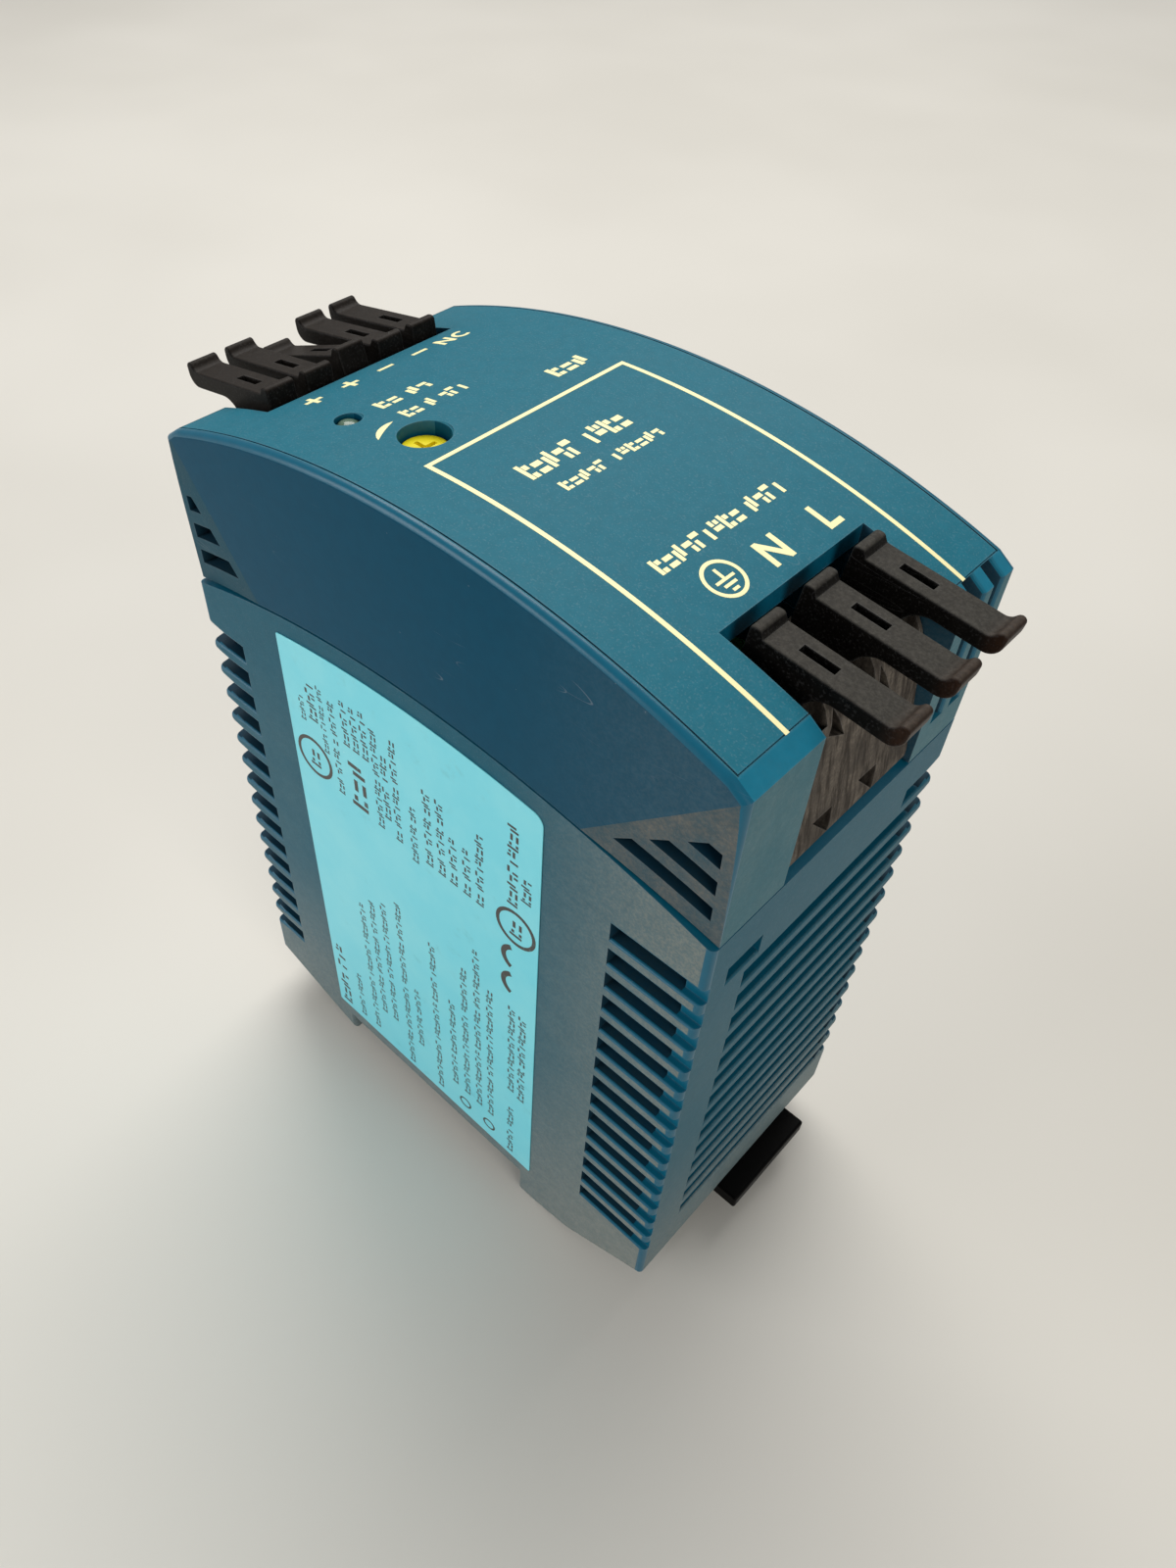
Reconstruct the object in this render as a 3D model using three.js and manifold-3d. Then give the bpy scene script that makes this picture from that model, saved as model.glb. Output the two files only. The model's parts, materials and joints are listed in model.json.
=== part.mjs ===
// DIN rail power supply, 75 mm long, with sprung lever terminals.
// Millimetres, +Z out of the front face. The origin is the middle of the rail seat:
// X runs along the case from the output end (-X) to the input end (+X), and the
// rating label is on the -Y side.

import * as THREE from "three";
import { mergeVertices } from "three/addons/utils/BufferGeometryUtils.js";
import { ConvexGeometry } from "three/addons/geometries/ConvexGeometry.js";
import Module from "manifold-3d";

const wasm = await Module();
wasm.setup();

// ---------------------------------------------------------------- driving dimensions

const GAP = 0.3;
const WALL = 2;
const CASE_MIN_X = -35.1;
const CASE_MAX_X = 39.9;
const CASE_MID_X = (CASE_MIN_X + CASE_MAX_X) / 2;
const HALF_WIDTH = 20.7;

const FRONT_CROWN_Z = 102.3;
const FRONT_RADIUS = 105.3;
const FRONT_BEVEL_X = 1.8;
const FRONT_BEVEL_Z = 0.6;
const SEAM_CROWN_Z = 81.3;
const SEAM_RADIUS = 130;
const REAR_CORNER_Z = 2.6;
const FLOOR_Z = 5;

const RAIL_HALF = 17.9;
const FOOT_Z = -5.2;
const RAIL_FLANGE = 1;
const SEAT_RELIEF = 1.5;
const SEAT_RELIEF_DEPTH = 0.4;

const SLOT_TOP_Z = 69.7;
const SLOT_HEIGHT = 2.4;
const SLOT_PITCH = 4.08;
const SLOT_COUNT = 15;
const SIDE_SLOT_LENGTH = 11;
const END_SLOT_MARGIN = 6.9;
const SLOT_WRAP = 7;
const EDGE_NOTCH = 0.9;

// The three-cornered facets on the hood's long sides and the slots in them.
const FACET_TOP_Z = 94.5;
const FACET_DEPTH = 0.9;
const FACET_SLOT_COUNT = 3;
const FACET_SLOT_HEIGHT = 1.9;
const FACET_SLOT_PITCH = 3.6;
const FACET_SLOT_LIFT = 2.7;

const LEVER_WIDTH = 3.6;
const LEVER_PLATE = 1.8;
const LEVER_TOP = 2.6;
const LEVER_INNER = 4.4;
const LEVER_OUTER = 10.6;
const PIVOT_Z = 96.2;

const BLOCK_BASE_Z = 74;
const BLOCK_DECK_Z = 94.6;
const WELL_FLOOR_Z = 78.2;
const WIRE_Z = 80.7;

const FRONT_BOARD_Z = 71.4;
const INDICATOR_BOARD_Z = 86;
const BOARD = 1.6;
const MAIN_BOARD_Y = 15.4;

// Where each terminal row sits: its end of the case, its poles and its recess in the hood.
const INPUT = {
  name: "input",
  endX: CASE_MAX_X,
  turn: 0,
  poles: 3,
  pitch: 7.5,
  centreY: 0.3,
  recessMinY: -10.4,
  recessMaxY: 10.9,
  recessDepth: 11.1,
  pivotIn: 5.3,
  tilt: 7.5,
  mouth: 4.4,
};
const OUTPUT = {
  name: "output",
  endX: CASE_MIN_X,
  turn: Math.PI,
  poles: 5,
  pitch: 5,
  centreY: -1.1,
  recessMinY: -13.9,
  recessMaxY: 12,
  recessDepth: 9.7,
  pivotIn: 4.7,
  tilt: 9.5,
  mouth: 3.4,
};
// The third output lever rests half pressed.
const HALF_PRESSED_LEVER = 3;
const HALF_PRESSED = 10;

const LED_X = -15.4;
const LED_Y = -11.45;
const LED_HOLE_RADIUS = 1.4;
const TRIMMER_X = -6.6;
const TRIMMER_Y = -9.4;
const TRIMMER_HOLE_RADIUS = 2.65;
const TRIMMER_TOP_Z = 100.4;

const LATCH_MIN_Y = -3.6;
const LATCH_MAX_Y = 12.7;
const LATCH_TIP_X = 43;
const LATCH_PLATE_MIN_Z = -0.2;
const LATCH_PLATE_MAX_Z = 2.4;
const LATCH_LIP_MIN_Z = -3.4;
const LATCH_WINDOW_X = 25;
const SPRING_POST_X = 37.2;
const SPRING_POST = 0.8;

// ---------------------------------------------------------------- helpers

const degrees = Math.PI / 180;

function solid(geometry) {
  const bare = geometry.index ? geometry.toNonIndexed() : geometry.clone();
  bare.deleteAttribute("normal");
  bare.deleteAttribute("uv");
  const merged = mergeVertices(bare, 1e-4);
  const mesh = new wasm.Mesh({
    numProp: 3,
    vertProperties: new Float32Array(merged.attributes.position.array),
    triVerts: new Uint32Array(merged.index.array),
  });
  return new wasm.Manifold(mesh);
}

function geometryOf(manifold) {
  const mesh = manifold.getMesh();
  const geometry = new THREE.BufferGeometry();
  geometry.setAttribute("position", new THREE.BufferAttribute(mesh.vertProperties, 3));
  geometry.setIndex(new THREE.BufferAttribute(mesh.triVerts, 1));
  geometry.computeVertexNormals();
  return geometry;
}

function box(minX, maxX, minY, maxY, minZ, maxZ) {
  const geometry = new THREE.BoxGeometry(maxX - minX, maxY - minY, maxZ - minZ);
  geometry.translate((minX + maxX) / 2, (minY + maxY) / 2, (minZ + maxZ) / 2);
  return solid(geometry);
}

function rod(radius, x, y, minZ, maxZ, segments = 24) {
  const geometry = new THREE.CylinderGeometry(radius, radius, maxZ - minZ, segments);
  geometry.rotateX(Math.PI / 2);
  geometry.translate(x, y, (minZ + maxZ) / 2);
  return solid(geometry);
}

// An outline in the XZ plane, given as [x, z] pairs, drawn out along Y.
function sideExtrusion(points, minY, maxY) {
  const outline = points.map(([x, z]) => new THREE.Vector2(x, z));
  if (THREE.ShapeUtils.isClockWise(outline)) {
    outline.reverse();
  }
  const settings = { depth: maxY - minY, bevelEnabled: false };
  const geometry = new THREE.ExtrudeGeometry(new THREE.Shape(outline), settings);
  geometry.rotateX(Math.PI / 2);
  geometry.translate(0, maxY, 0);
  return solid(geometry);
}

function union(first, ...others) {
  return others.reduce((sum, next) => sum.add(next), first);
}

function cut(first, ...others) {
  return others.reduce((rest, next) => rest.subtract(next), first);
}

function arcZ(crown, radius, x) {
  return crown - radius + Math.sqrt(radius ** 2 - (x - CASE_MID_X) ** 2);
}

function arcPoints(crown, radius, fromX, toX, steps) {
  const points = [];
  for (let i = 0; i <= steps; i += 1) {
    const x = fromX + ((toX - fromX) * i) / steps;
    points.push([x, arcZ(crown, radius, x)]);
  }
  return points;
}

// Points on a round stretch of an outline, in degrees from +X towards +Z.
function roundPoints(centreX, centreZ, radius, fromAngle, toAngle, steps) {
  const points = [];
  for (let i = 0; i <= steps; i += 1) {
    const angle = (fromAngle + ((toAngle - fromAngle) * i) / steps) * degrees;
    points.push([centreX + radius * Math.cos(angle), centreZ + radius * Math.sin(angle)]);
  }
  return points;
}

const finishes = {
  casePlastic: { color: 0x2c6c7c, roughness: 0.55, metalness: 0 },
  leverPlastic: { color: 0x2e2722, roughness: 0.35, metalness: 0 },
  blockPlastic: { color: 0x3a302a, roughness: 0.6, metalness: 0 },
  blackPlastic: { color: 0x101112, roughness: 0.5, metalness: 0 },
  yellowPlastic: { color: 0xf2dc1c, roughness: 0.4, metalness: 0 },
  labelFilm: { color: 0x79d3dc, roughness: 0.45, metalness: 0 },
  lens: { color: 0x8fa79a, roughness: 0.2, metalness: 0 },
  board: { color: 0x2f6b3c, roughness: 0.5, metalness: 0 },
  springSteel: { color: 0xb9bcc0, roughness: 0.3, metalness: 1 },
  tinnedCopper: { color: 0xcfcbbf, roughness: 0.35, metalness: 1 },
  aluminium: { color: 0xc3c6c9, roughness: 0.4, metalness: 1 },
  ferrite: { color: 0x3b3b3d, roughness: 0.7, metalness: 0 },
  copper: { color: 0xb87333, roughness: 0.35, metalness: 1 },
  sleeve: { color: 0x22262e, roughness: 0.35, metalness: 0 },
  epoxy: { color: 0x17181a, roughness: 0.6, metalness: 0 },
  blueCoating: { color: 0x2455a0, roughness: 0.5, metalness: 0 },
  yellowBox: { color: 0xd9b43a, roughness: 0.5, metalness: 0 },
  glassTube: { color: 0xdfe5e2, roughness: 0.1, metalness: 0 },
  film: { color: 0xe8e4d4, roughness: 0.5, metalness: 0 },
};

const supply = new THREE.Group();

function addPart(name, manifold, finish, parent = supply) {
  const mesh = new THREE.Mesh(geometryOf(manifold), new THREE.MeshStandardMaterial(finishes[finish]));
  mesh.name = name;
  parent.add(mesh);
  return mesh;
}

// ---------------------------------------------------------------- case

function caseOutline() {
  return [
    [CASE_MIN_X, REAR_CORNER_Z],
    [-RAIL_HALF, -3.5],
    [-RAIL_HALF, 0],
    [RAIL_HALF, 0],
    [RAIL_HALF, FOOT_Z],
    [RAIL_HALF + 3, FOOT_Z],
    [RAIL_HALF + 9.5, FOOT_Z + 1.1],
    [CASE_MAX_X, REAR_CORNER_Z],
    ...arcPoints(SEAM_CROWN_Z, SEAM_RADIUS, CASE_MAX_X, CASE_MIN_X, 16),
  ];
}

// The fixed hook that reaches under the rail's flange on the output side.
function railHook() {
  const lipTop = -RAIL_FLANGE - GAP;
  const outline = [
    [-30, 0.6],
    [-25, FOOT_Z],
    [-RAIL_HALF + 1.2, FOOT_Z],
    [-RAIL_HALF + 1.2, lipTop],
    [-RAIL_HALF, lipTop],
    [-RAIL_HALF, 0.6],
  ];
  return sideExtrusion(outline, -9, 9);
}

// Shallow grooves along both edges of the seat, clear of the rail's flange edges.
function seatReliefs() {
  const inner = RAIL_HALF - SEAT_RELIEF;
  const minY = -HALF_WIDTH - 1;
  const maxY = HALF_WIDTH + 1;
  return union(
    box(-RAIL_HALF, -inner, minY, maxY, -0.5, SEAT_RELIEF_DEPTH),
    box(inner, RAIL_HALF, minY, maxY, -0.5, SEAT_RELIEF_DEPTH),
  );
}

function slotLevels() {
  return Array.from({ length: SLOT_COUNT }, (unused, row) => {
    const top = SLOT_TOP_Z - row * SLOT_PITCH;
    return [top - SLOT_HEIGHT, top];
  });
}

// One corner's louvres, made for the +X end and turned half a turn for the other end:
// short slots on the -Y side that nick the corner, and long ones across the end face
// that wrap onto the +Y side.
function cornerLouvres(endX) {
  const innerX = endX - WALL - 0.5;
  const cuts = [];
  slotLevels().forEach(([low, high], row) => {
    cuts.push(box(endX - SIDE_SLOT_LENGTH, innerX, -HALF_WIDTH - 1, -HALF_WIDTH + 3, low, high));
    cuts.push(box(innerX - 1, endX + 1, -HALF_WIDTH - 1, -HALF_WIDTH + EDGE_NOTCH, low, high));
    cuts.push(box(endX - SLOT_WRAP, endX + 1, HALF_WIDTH - 3, HALF_WIDTH + 1, low, high));
    if (row === 0) {
      cuts.push(box(endX - 3, endX + 1, -HALF_WIDTH + 3.5, -HALF_WIDTH + 8.9, low, high));
      cuts.push(box(endX - 3, endX + 1, 13.6, HALF_WIDTH, low, high));
    } else {
      cuts.push(box(endX - 3, endX + 1, -HALF_WIDTH + END_SLOT_MARGIN, HALF_WIDTH, low, high));
    }
  });
  return union(...cuts);
}

function turnedHalf(manifold) {
  const geometry = geometryOf(manifold);
  geometry.rotateZ(Math.PI);
  geometry.translate(2 * CASE_MID_X, 0, 0);
  return solid(geometry);
}

function latchChannel() {
  const minY = LATCH_MIN_Y - GAP;
  const maxY = LATCH_MAX_Y + GAP;
  const minX = RAIL_HALF - 1;
  const roof = LATCH_PLATE_MAX_Z + GAP;
  const lipRoom = 7.5;
  return union(
    box(minX, CASE_MAX_X + 1, minY, maxY, LATCH_PLATE_MIN_Z - 0.4, roof),
    box(minX, minX + lipRoom, minY, maxY, FOOT_Z - 1, roof),
  );
}

// The post that the latch spring pushes against, hanging from the channel's roof.
function springPost() {
  const inset = 6;
  return box(
    SPRING_POST_X, SPRING_POST_X + SPRING_POST, LATCH_MIN_Y + inset, LATCH_MAX_Y - inset,
    0, LATCH_PLATE_MAX_Z + 0.5,
  );
}

function bodyShell() {
  const outside = sideExtrusion(caseOutline(), -HALF_WIDTH, HALF_WIDTH).add(railHook());
  const inside = box(
    CASE_MIN_X + WALL, CASE_MAX_X - WALL, -HALF_WIDTH + WALL, HALF_WIDTH - WALL, FLOOR_Z, SEAM_CROWN_Z + 5,
  );
  const louvres = cornerLouvres(CASE_MAX_X);
  const cuts = [inside, louvres, turnedHalf(louvres), seatReliefs(), latchChannel()];
  return cut(outside, ...cuts).add(springPost());
}

// ---------------------------------------------------------------- hood

function hoodOutline(inset) {
  const crown = FRONT_CROWN_Z - inset;
  const radius = FRONT_RADIUS - inset;
  const minX = CASE_MIN_X + inset;
  const maxX = CASE_MAX_X - inset;
  const arc = arcPoints(crown, radius, maxX - FRONT_BEVEL_X, minX + FRONT_BEVEL_X, 22);
  const endZ = arcZ(crown, radius, maxX) - FRONT_BEVEL_Z;
  const seam = arcPoints(SEAM_CROWN_Z + GAP, SEAM_RADIUS, minX, maxX, 16);
  return [...seam, [maxX, endZ], ...arc, [minX, endZ]];
}

// A shallow three-cornered facet on a hood side, sunk most at the case's lower corner.
function sideFacet(footX, topX, endX) {
  const lowZ = arcZ(SEAM_CROWN_Z, SEAM_RADIUS, endX) - 2;
  const footZ = arcZ(SEAM_CROWN_Z, SEAM_RADIUS, footX);
  const outside = -HALF_WIDTH - 2;
  const beyondX = endX + Math.sign(endX - footX);
  const corners = [
    new THREE.Vector3(footX, -HALF_WIDTH, footZ),
    new THREE.Vector3(topX, -HALF_WIDTH, FACET_TOP_Z),
    new THREE.Vector3(beyondX, -HALF_WIDTH, FACET_TOP_Z + 1),
    new THREE.Vector3(beyondX, -HALF_WIDTH + FACET_DEPTH, lowZ),
    new THREE.Vector3(footX, -HALF_WIDTH, lowZ),
  ];
  const points = corners.flatMap((corner) => [corner, corner.clone().setY(outside)]);
  return solid(new ConvexGeometry(points));
}

// Slots that follow the seam's curve and end along the facet's slanted edge.
function facetSlots(footX, topX, endX) {
  const inward = Math.sign(footX - endX);
  const endMargin = 1.3;
  const edgeMargin = 2.4;
  const outerX = endX + inward * endMargin;
  const slope = (topX - footX) / (FACET_TOP_Z - arcZ(SEAM_CROWN_Z, SEAM_RADIUS, footX));
  const cuts = [];
  for (let row = 0; row < FACET_SLOT_COUNT; row += 1) {
    const low = FACET_SLOT_LIFT + row * FACET_SLOT_PITCH;
    const high = low + FACET_SLOT_HEIGHT;
    const startX = (rise) => footX - inward * edgeMargin + slope * (rise - edgeMargin / 2);
    const lift = (x, rise) => arcZ(SEAM_CROWN_Z, SEAM_RADIUS, x) + rise;
    const outline = [
      [outerX, lift(outerX, low)],
      [startX(low), lift(startX(low), low)],
      [startX(high), lift(startX(high), high)],
      [outerX, lift(outerX, high)],
    ];
    cuts.push(sideExtrusion(outline, -HALF_WIDTH - 1, -HALF_WIDTH + WALL + 1));
  }
  return union(...cuts);
}

// What both long sides of the hood share, turned half a turn for the other side.
function sideDetails() {
  const wide = { footX: CASE_MAX_X - 15.8, topX: CASE_MAX_X - 0.6, endX: CASE_MAX_X };
  const narrow = { footX: CASE_MIN_X + 12.5, topX: CASE_MIN_X + 1.2, endX: CASE_MIN_X };
  return union(
    ...[wide, narrow].flatMap(({ footX, topX, endX }) => [
      sideFacet(footX, topX, endX),
      facetSlots(footX, topX, endX),
    ]),
  );
}

function recessCut(row) {
  const inner = row.endX - Math.sign(row.endX) * row.recessDepth;
  const outer = row.endX + Math.sign(row.endX);
  return box(
    Math.min(inner, outer), Math.max(inner, outer), row.recessMinY, row.recessMaxY,
    BLOCK_BASE_Z - 5, FRONT_CROWN_Z,
  );
}

// Two upright slots in the end strip beside the input terminals.
function endStripSlots() {
  const width = 1.5;
  const bottom = SEAM_CROWN_Z - 1.3;
  const slot = (minY) => {
    return box(CASE_MAX_X - WALL - 0.6, CASE_MAX_X + 1, minY, minY + width, bottom, bottom + 17);
  };
  return slot(13.4).add(slot(16.8));
}

// The hood's hollow, which runs out through its open underside.
function hoodHollow() {
  const below = 3;
  const outline = hoodOutline(WALL).map(([x, z]) => {
    const onSeam = z < SEAM_CROWN_Z + 1;
    return [x, onSeam ? z - below : z];
  });
  return sideExtrusion(outline, -HALF_WIDTH + WALL, HALF_WIDTH - WALL);
}

function frontHood() {
  const outside = sideExtrusion(hoodOutline(0), -HALF_WIDTH, HALF_WIDTH);
  const details = sideDetails();
  const above = FRONT_CROWN_Z + 2;
  const below = FRONT_CROWN_Z - 12;
  return cut(
    outside, hoodHollow(), details, turnedHalf(details),
    recessCut(INPUT), recessCut(OUTPUT), endStripSlots(),
    rod(LED_HOLE_RADIUS, LED_X, LED_Y, below, above),
    rod(TRIMMER_HOLE_RADIUS, TRIMMER_X, TRIMMER_Y, below, above, 32),
  );
}

function ratingLabel() {
  const minX = -20.2;
  const maxX = 20.1;
  const minZ = 3.3;
  const corner = 1.5;
  const crown = SEAM_CROWN_Z - 2.5;
  const cornerX = maxX - corner;
  const cornerZ = arcZ(crown, SEAM_RADIUS, cornerX) - corner;
  const outline = [
    [minX, minZ],
    [maxX, minZ],
    ...roundPoints(cornerX, cornerZ, corner, 0, 75, 5),
    ...arcPoints(crown, SEAM_RADIUS, cornerX, minX, 10),
  ];
  return sideExtrusion(outline, -HALF_WIDTH - 0.16, -HALF_WIDTH - 0.02);
}

// ---------------------------------------------------------------- terminals

// A terminal row's own frame: X = 0 is the case's end face, +X points out of the case,
// Y = 0 is the middle of the poles and Z is the case's.

function poleOffsets(row) {
  return Array.from({ length: row.poles }, (unused, pole) => (pole - (row.poles - 1) / 2) * row.pitch);
}

function blockOutline(row) {
  const backX = -row.recessDepth + GAP;
  return [
    [-0.5, 76.9],
    [-0.5, 78],
    [-2.3, 90.4],
    [-2.9, 92],
    [-4.6, BLOCK_DECK_Z],
    [backX, BLOCK_DECK_Z],
    [backX, BLOCK_BASE_Z],
    [-2.5, BLOCK_BASE_Z],
    [-2.5, 76.9],
  ];
}

// A wire entry: a square funnel that narrows to the hole into the clamp well.
function wireEntry(row, y) {
  const mouth = row.mouth / Math.SQRT2;
  const throat = 1.3 * Math.SQRT2;
  const length = 3.4;
  const funnel = new THREE.CylinderGeometry(mouth, throat, length, 4);
  funnel.rotateY(Math.PI / 4);
  funnel.rotateZ(-Math.PI / 2);
  funnel.scale(1, 1, 1.15);
  funnel.translate(-0.3 - length / 2, y, WIRE_Z);
  const hole = box(-row.pivotIn - 1, -3.5, y - 1.3, y + 1.3, WIRE_Z - 1.3, WIRE_Z + 1.3);
  return solid(funnel).add(hole);
}

function leverWell(row, y) {
  const half = LEVER_WIDTH / 2 + 0.35;
  const minX = Math.max(-row.pivotIn - LEVER_INNER - 0.8, -row.recessDepth + GAP + 0.6);
  return box(minX, -row.pivotIn + 2.9, y - half, y + half, WELL_FLOOR_Z, BLOCK_DECK_Z + 1);
}

function barHole(row, y) {
  const x = barX(row);
  return box(x - 0.4, x + 0.9, y - 1.5, y + 1.5, BLOCK_BASE_Z - 1, WELL_FLOOR_Z + 0.1);
}

function barX(row) {
  return -row.recessDepth + GAP + 1.3;
}

function terminalBlock(row) {
  const towardsMinY = row.turn ? -1 : 1;
  const low = (row.recessMinY - row.centreY) * towardsMinY;
  const high = (row.recessMaxY - row.centreY) * towardsMinY;
  const minY = Math.min(low, high) + GAP;
  const maxY = Math.max(low, high) - GAP;
  const body = sideExtrusion(blockOutline(row), minY, maxY);
  const cuts = poleOffsets(row).flatMap((y) => [wireEntry(row, y), leverWell(row, y), barHole(row, y)]);
  return cut(body, ...cuts);
}

// The lever in its own frame: X along it, outwards, Z up, the pivot at the origin.
function leverOutline() {
  const top = LEVER_TOP;
  const under = top - LEVER_PLATE;
  return [
    [-LEVER_INNER, 0.4],
    ...roundPoints(-LEVER_INNER + 1.6, -0.6, 1.6, 180, 235, 3),
    [-1.8, -3.4],
    ...roundPoints(-0.3, -3.2, 1.5, 190, 330, 5),
    [1.6, -1.4],
    ...roundPoints(4.6, under - 2.6, 2.6, 160, 90, 4),
    [LEVER_OUTER - 1.7, under],
    ...roundPoints(LEVER_OUTER - 1.5, under + 1.5, 1.5, -80, 0, 4),
    [LEVER_OUTER, top + 0.3],
    ...roundPoints(LEVER_OUTER - 0.5, top + 0.4, 0.5, 10, 150, 3),
    [LEVER_OUTER - 1.4, top],
    [-LEVER_INNER + 1.3, top],
    [-LEVER_INNER + 1.2, top + 0.5],
    [-LEVER_INNER + 0.9, top + 0.7],
    [-LEVER_INNER + 0.3, top + 0.7],
    [-LEVER_INNER, top + 0.4],
  ];
}

function lever() {
  const half = LEVER_WIDTH / 2;
  const body = sideExtrusion(leverOutline(), -half, half);
  const toolSlot = box(-0.4, 3.1, -0.48, 0.48, LEVER_TOP - 1.4, LEVER_TOP + 1);
  return body.subtract(toolSlot);
}

// Follows a centre line in the XZ plane at a constant sheet thickness.
function strip(centreLine, thickness, width) {
  const side = (sign) => centreLine.map(([x, z], i) => {
    const [beforeX, beforeZ] = centreLine[Math.max(i - 1, 0)];
    const [afterX, afterZ] = centreLine[Math.min(i + 1, centreLine.length - 1)];
    const length = Math.hypot(afterX - beforeX, afterZ - beforeZ);
    const offset = (sign * thickness) / 2 / length;
    return [x - (afterZ - beforeZ) * offset, z + (afterX - beforeX) * offset];
  });
  return sideExtrusion([...side(1), ...side(-1).reverse()], -width / 2, width / 2);
}

// The clamp spring: an upside-down U that stands on the contact bar's level.
function clampSpring(row) {
  const backX = barX(row) + 0.9;
  const radius = 1.5;
  return strip(
    [
      [backX, WELL_FLOOR_Z + 1.3],
      [backX, WELL_FLOOR_Z + 6],
      ...roundPoints(backX + radius, WELL_FLOOR_Z + 6.2, radius, 180, 0, 8),
      [backX + 2 * radius + 0.1, WELL_FLOOR_Z + 5.4],
    ],
    0.4, 2.8,
  );
}

function contactBar(row) {
  const x = barX(row);
  const legs = box(x - 0.1, x + 0.3, -1.2, 1.2, FRONT_BOARD_Z + BOARD + GAP, WELL_FLOOR_Z + 0.9);
  const plate = box(x - 0.1, -row.pivotIn + 2.4, -1.2, 1.2, WELL_FLOOR_Z + GAP, WELL_FLOOR_Z + 0.9);
  return legs.add(plate);
}

function addTerminalRow(row) {
  const group = new THREE.Group();
  group.position.set(row.endX, row.centreY, 0);
  group.rotation.z = row.turn;
  supply.add(group);
  addPart(`${row.name}_terminal_block`, terminalBlock(row), "blockPlastic", group);
  // Poles are numbered from the label side.
  const offsets = poleOffsets(row);
  const ordered = row.turn ? offsets.reverse() : offsets;
  ordered.forEach((y, index) => {
    const pole = index + 1;
    const pressed = row === OUTPUT && pole === HALF_PRESSED_LEVER ? HALF_PRESSED : 0;
    const arm = addPart(`${row.name}_lever_${pole}`, lever(), "leverPlastic", group);
    arm.position.set(-row.pivotIn, y, PIVOT_Z);
    arm.rotation.y = (row.tilt + pressed) * degrees;
    const spring = addPart(`${row.name}_clamp_spring_${pole}`, clampSpring(row), "springSteel", group);
    spring.position.y = y;
    const bar = addPart(`${row.name}_contact_bar_${pole}`, contactBar(row), "tinnedCopper", group);
    bar.position.y = y;
  });
}

// ---------------------------------------------------------------- rail latch

function railLatch() {
  const backX = RAIL_HALF + 2.4;
  const margin = 5;
  const plate = box(
    RAIL_HALF, LATCH_TIP_X, LATCH_MIN_Y, LATCH_MAX_Y, LATCH_PLATE_MIN_Z, LATCH_PLATE_MAX_Z,
  );
  const lip = box(
    RAIL_HALF - 1, backX, LATCH_MIN_Y, LATCH_MAX_Y, LATCH_LIP_MIN_Z, -RAIL_FLANGE - GAP,
  );
  const web = box(
    RAIL_HALF + 0.4, backX, LATCH_MIN_Y, LATCH_MAX_Y, LATCH_LIP_MIN_Z, LATCH_PLATE_MAX_Z,
  );
  const window = box(
    LATCH_WINDOW_X, SPRING_POST_X + SPRING_POST + 1, LATCH_MIN_Y + margin, LATCH_MAX_Y - margin,
    LATCH_PLATE_MIN_Z - 1, LATCH_PLATE_MAX_Z + 1,
  );
  return cut(union(plate, lip, web), window);
}

// A folded leaf between the latch's window and the post in its channel.
function latchSpring() {
  const folds = 5;
  const amplitude = 2;
  const startX = LATCH_WINDOW_X + GAP;
  const endX = SPRING_POST_X - GAP;
  const midY = (LATCH_MIN_Y + LATCH_MAX_Y) / 2;
  const line = Array.from({ length: folds * 2 + 1 }, (unused, i) => {
    const x = startX + 0.3 + ((endX - startX - 0.6) * i) / (folds * 2);
    return [x, i % 2 ? amplitude : -amplitude];
  });
  const geometry = geometryOf(strip(line, 0.4, 1.6));
  geometry.rotateX(-Math.PI / 2);
  geometry.translate(0, midY, 1.1);
  return solid(geometry);
}

// ---------------------------------------------------------------- boards and indicator

function addBoards() {
  const inner = HALF_WIDTH - WALL - 0.5;
  const minX = CASE_MIN_X + WALL + GAP;
  const maxX = CASE_MAX_X - WALL - GAP;
  addPart("front_board", box(minX, maxX, -inner, inner, FRONT_BOARD_Z, FRONT_BOARD_Z + BOARD), "board");
  const mainTop = FRONT_BOARD_Z - 0.5;
  addPart("main_board", box(-31, 36, MAIN_BOARD_Y, MAIN_BOARD_Y + BOARD, 6, mainTop), "board");
  addPart("insulation_sheet", box(-32, 37, MAIN_BOARD_Y + 2.3, MAIN_BOARD_Y + 2.6, 5.5, mainTop), "film");
  const low = INDICATOR_BOARD_Z;
  addPart("indicator_board", box(-21.5, 8, -17.5, -3, low, low + BOARD), "board");
  addPart("pin_header", pinHeader(), "blackPlastic");
}

function pinHeader() {
  const minZ = FRONT_BOARD_Z + BOARD + GAP;
  const maxZ = INDICATOR_BOARD_Z - GAP;
  const pins = Array.from({ length: 4 }, (unused, i) => {
    const y = -14 + i * 2.54;
    return box(3.7, 4.3, y - 0.3, y + 0.3, minZ, maxZ);
  });
  return union(box(2.8, 5.2, -15.3, -5.1, minZ, minZ + 9), ...pins);
}

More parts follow.
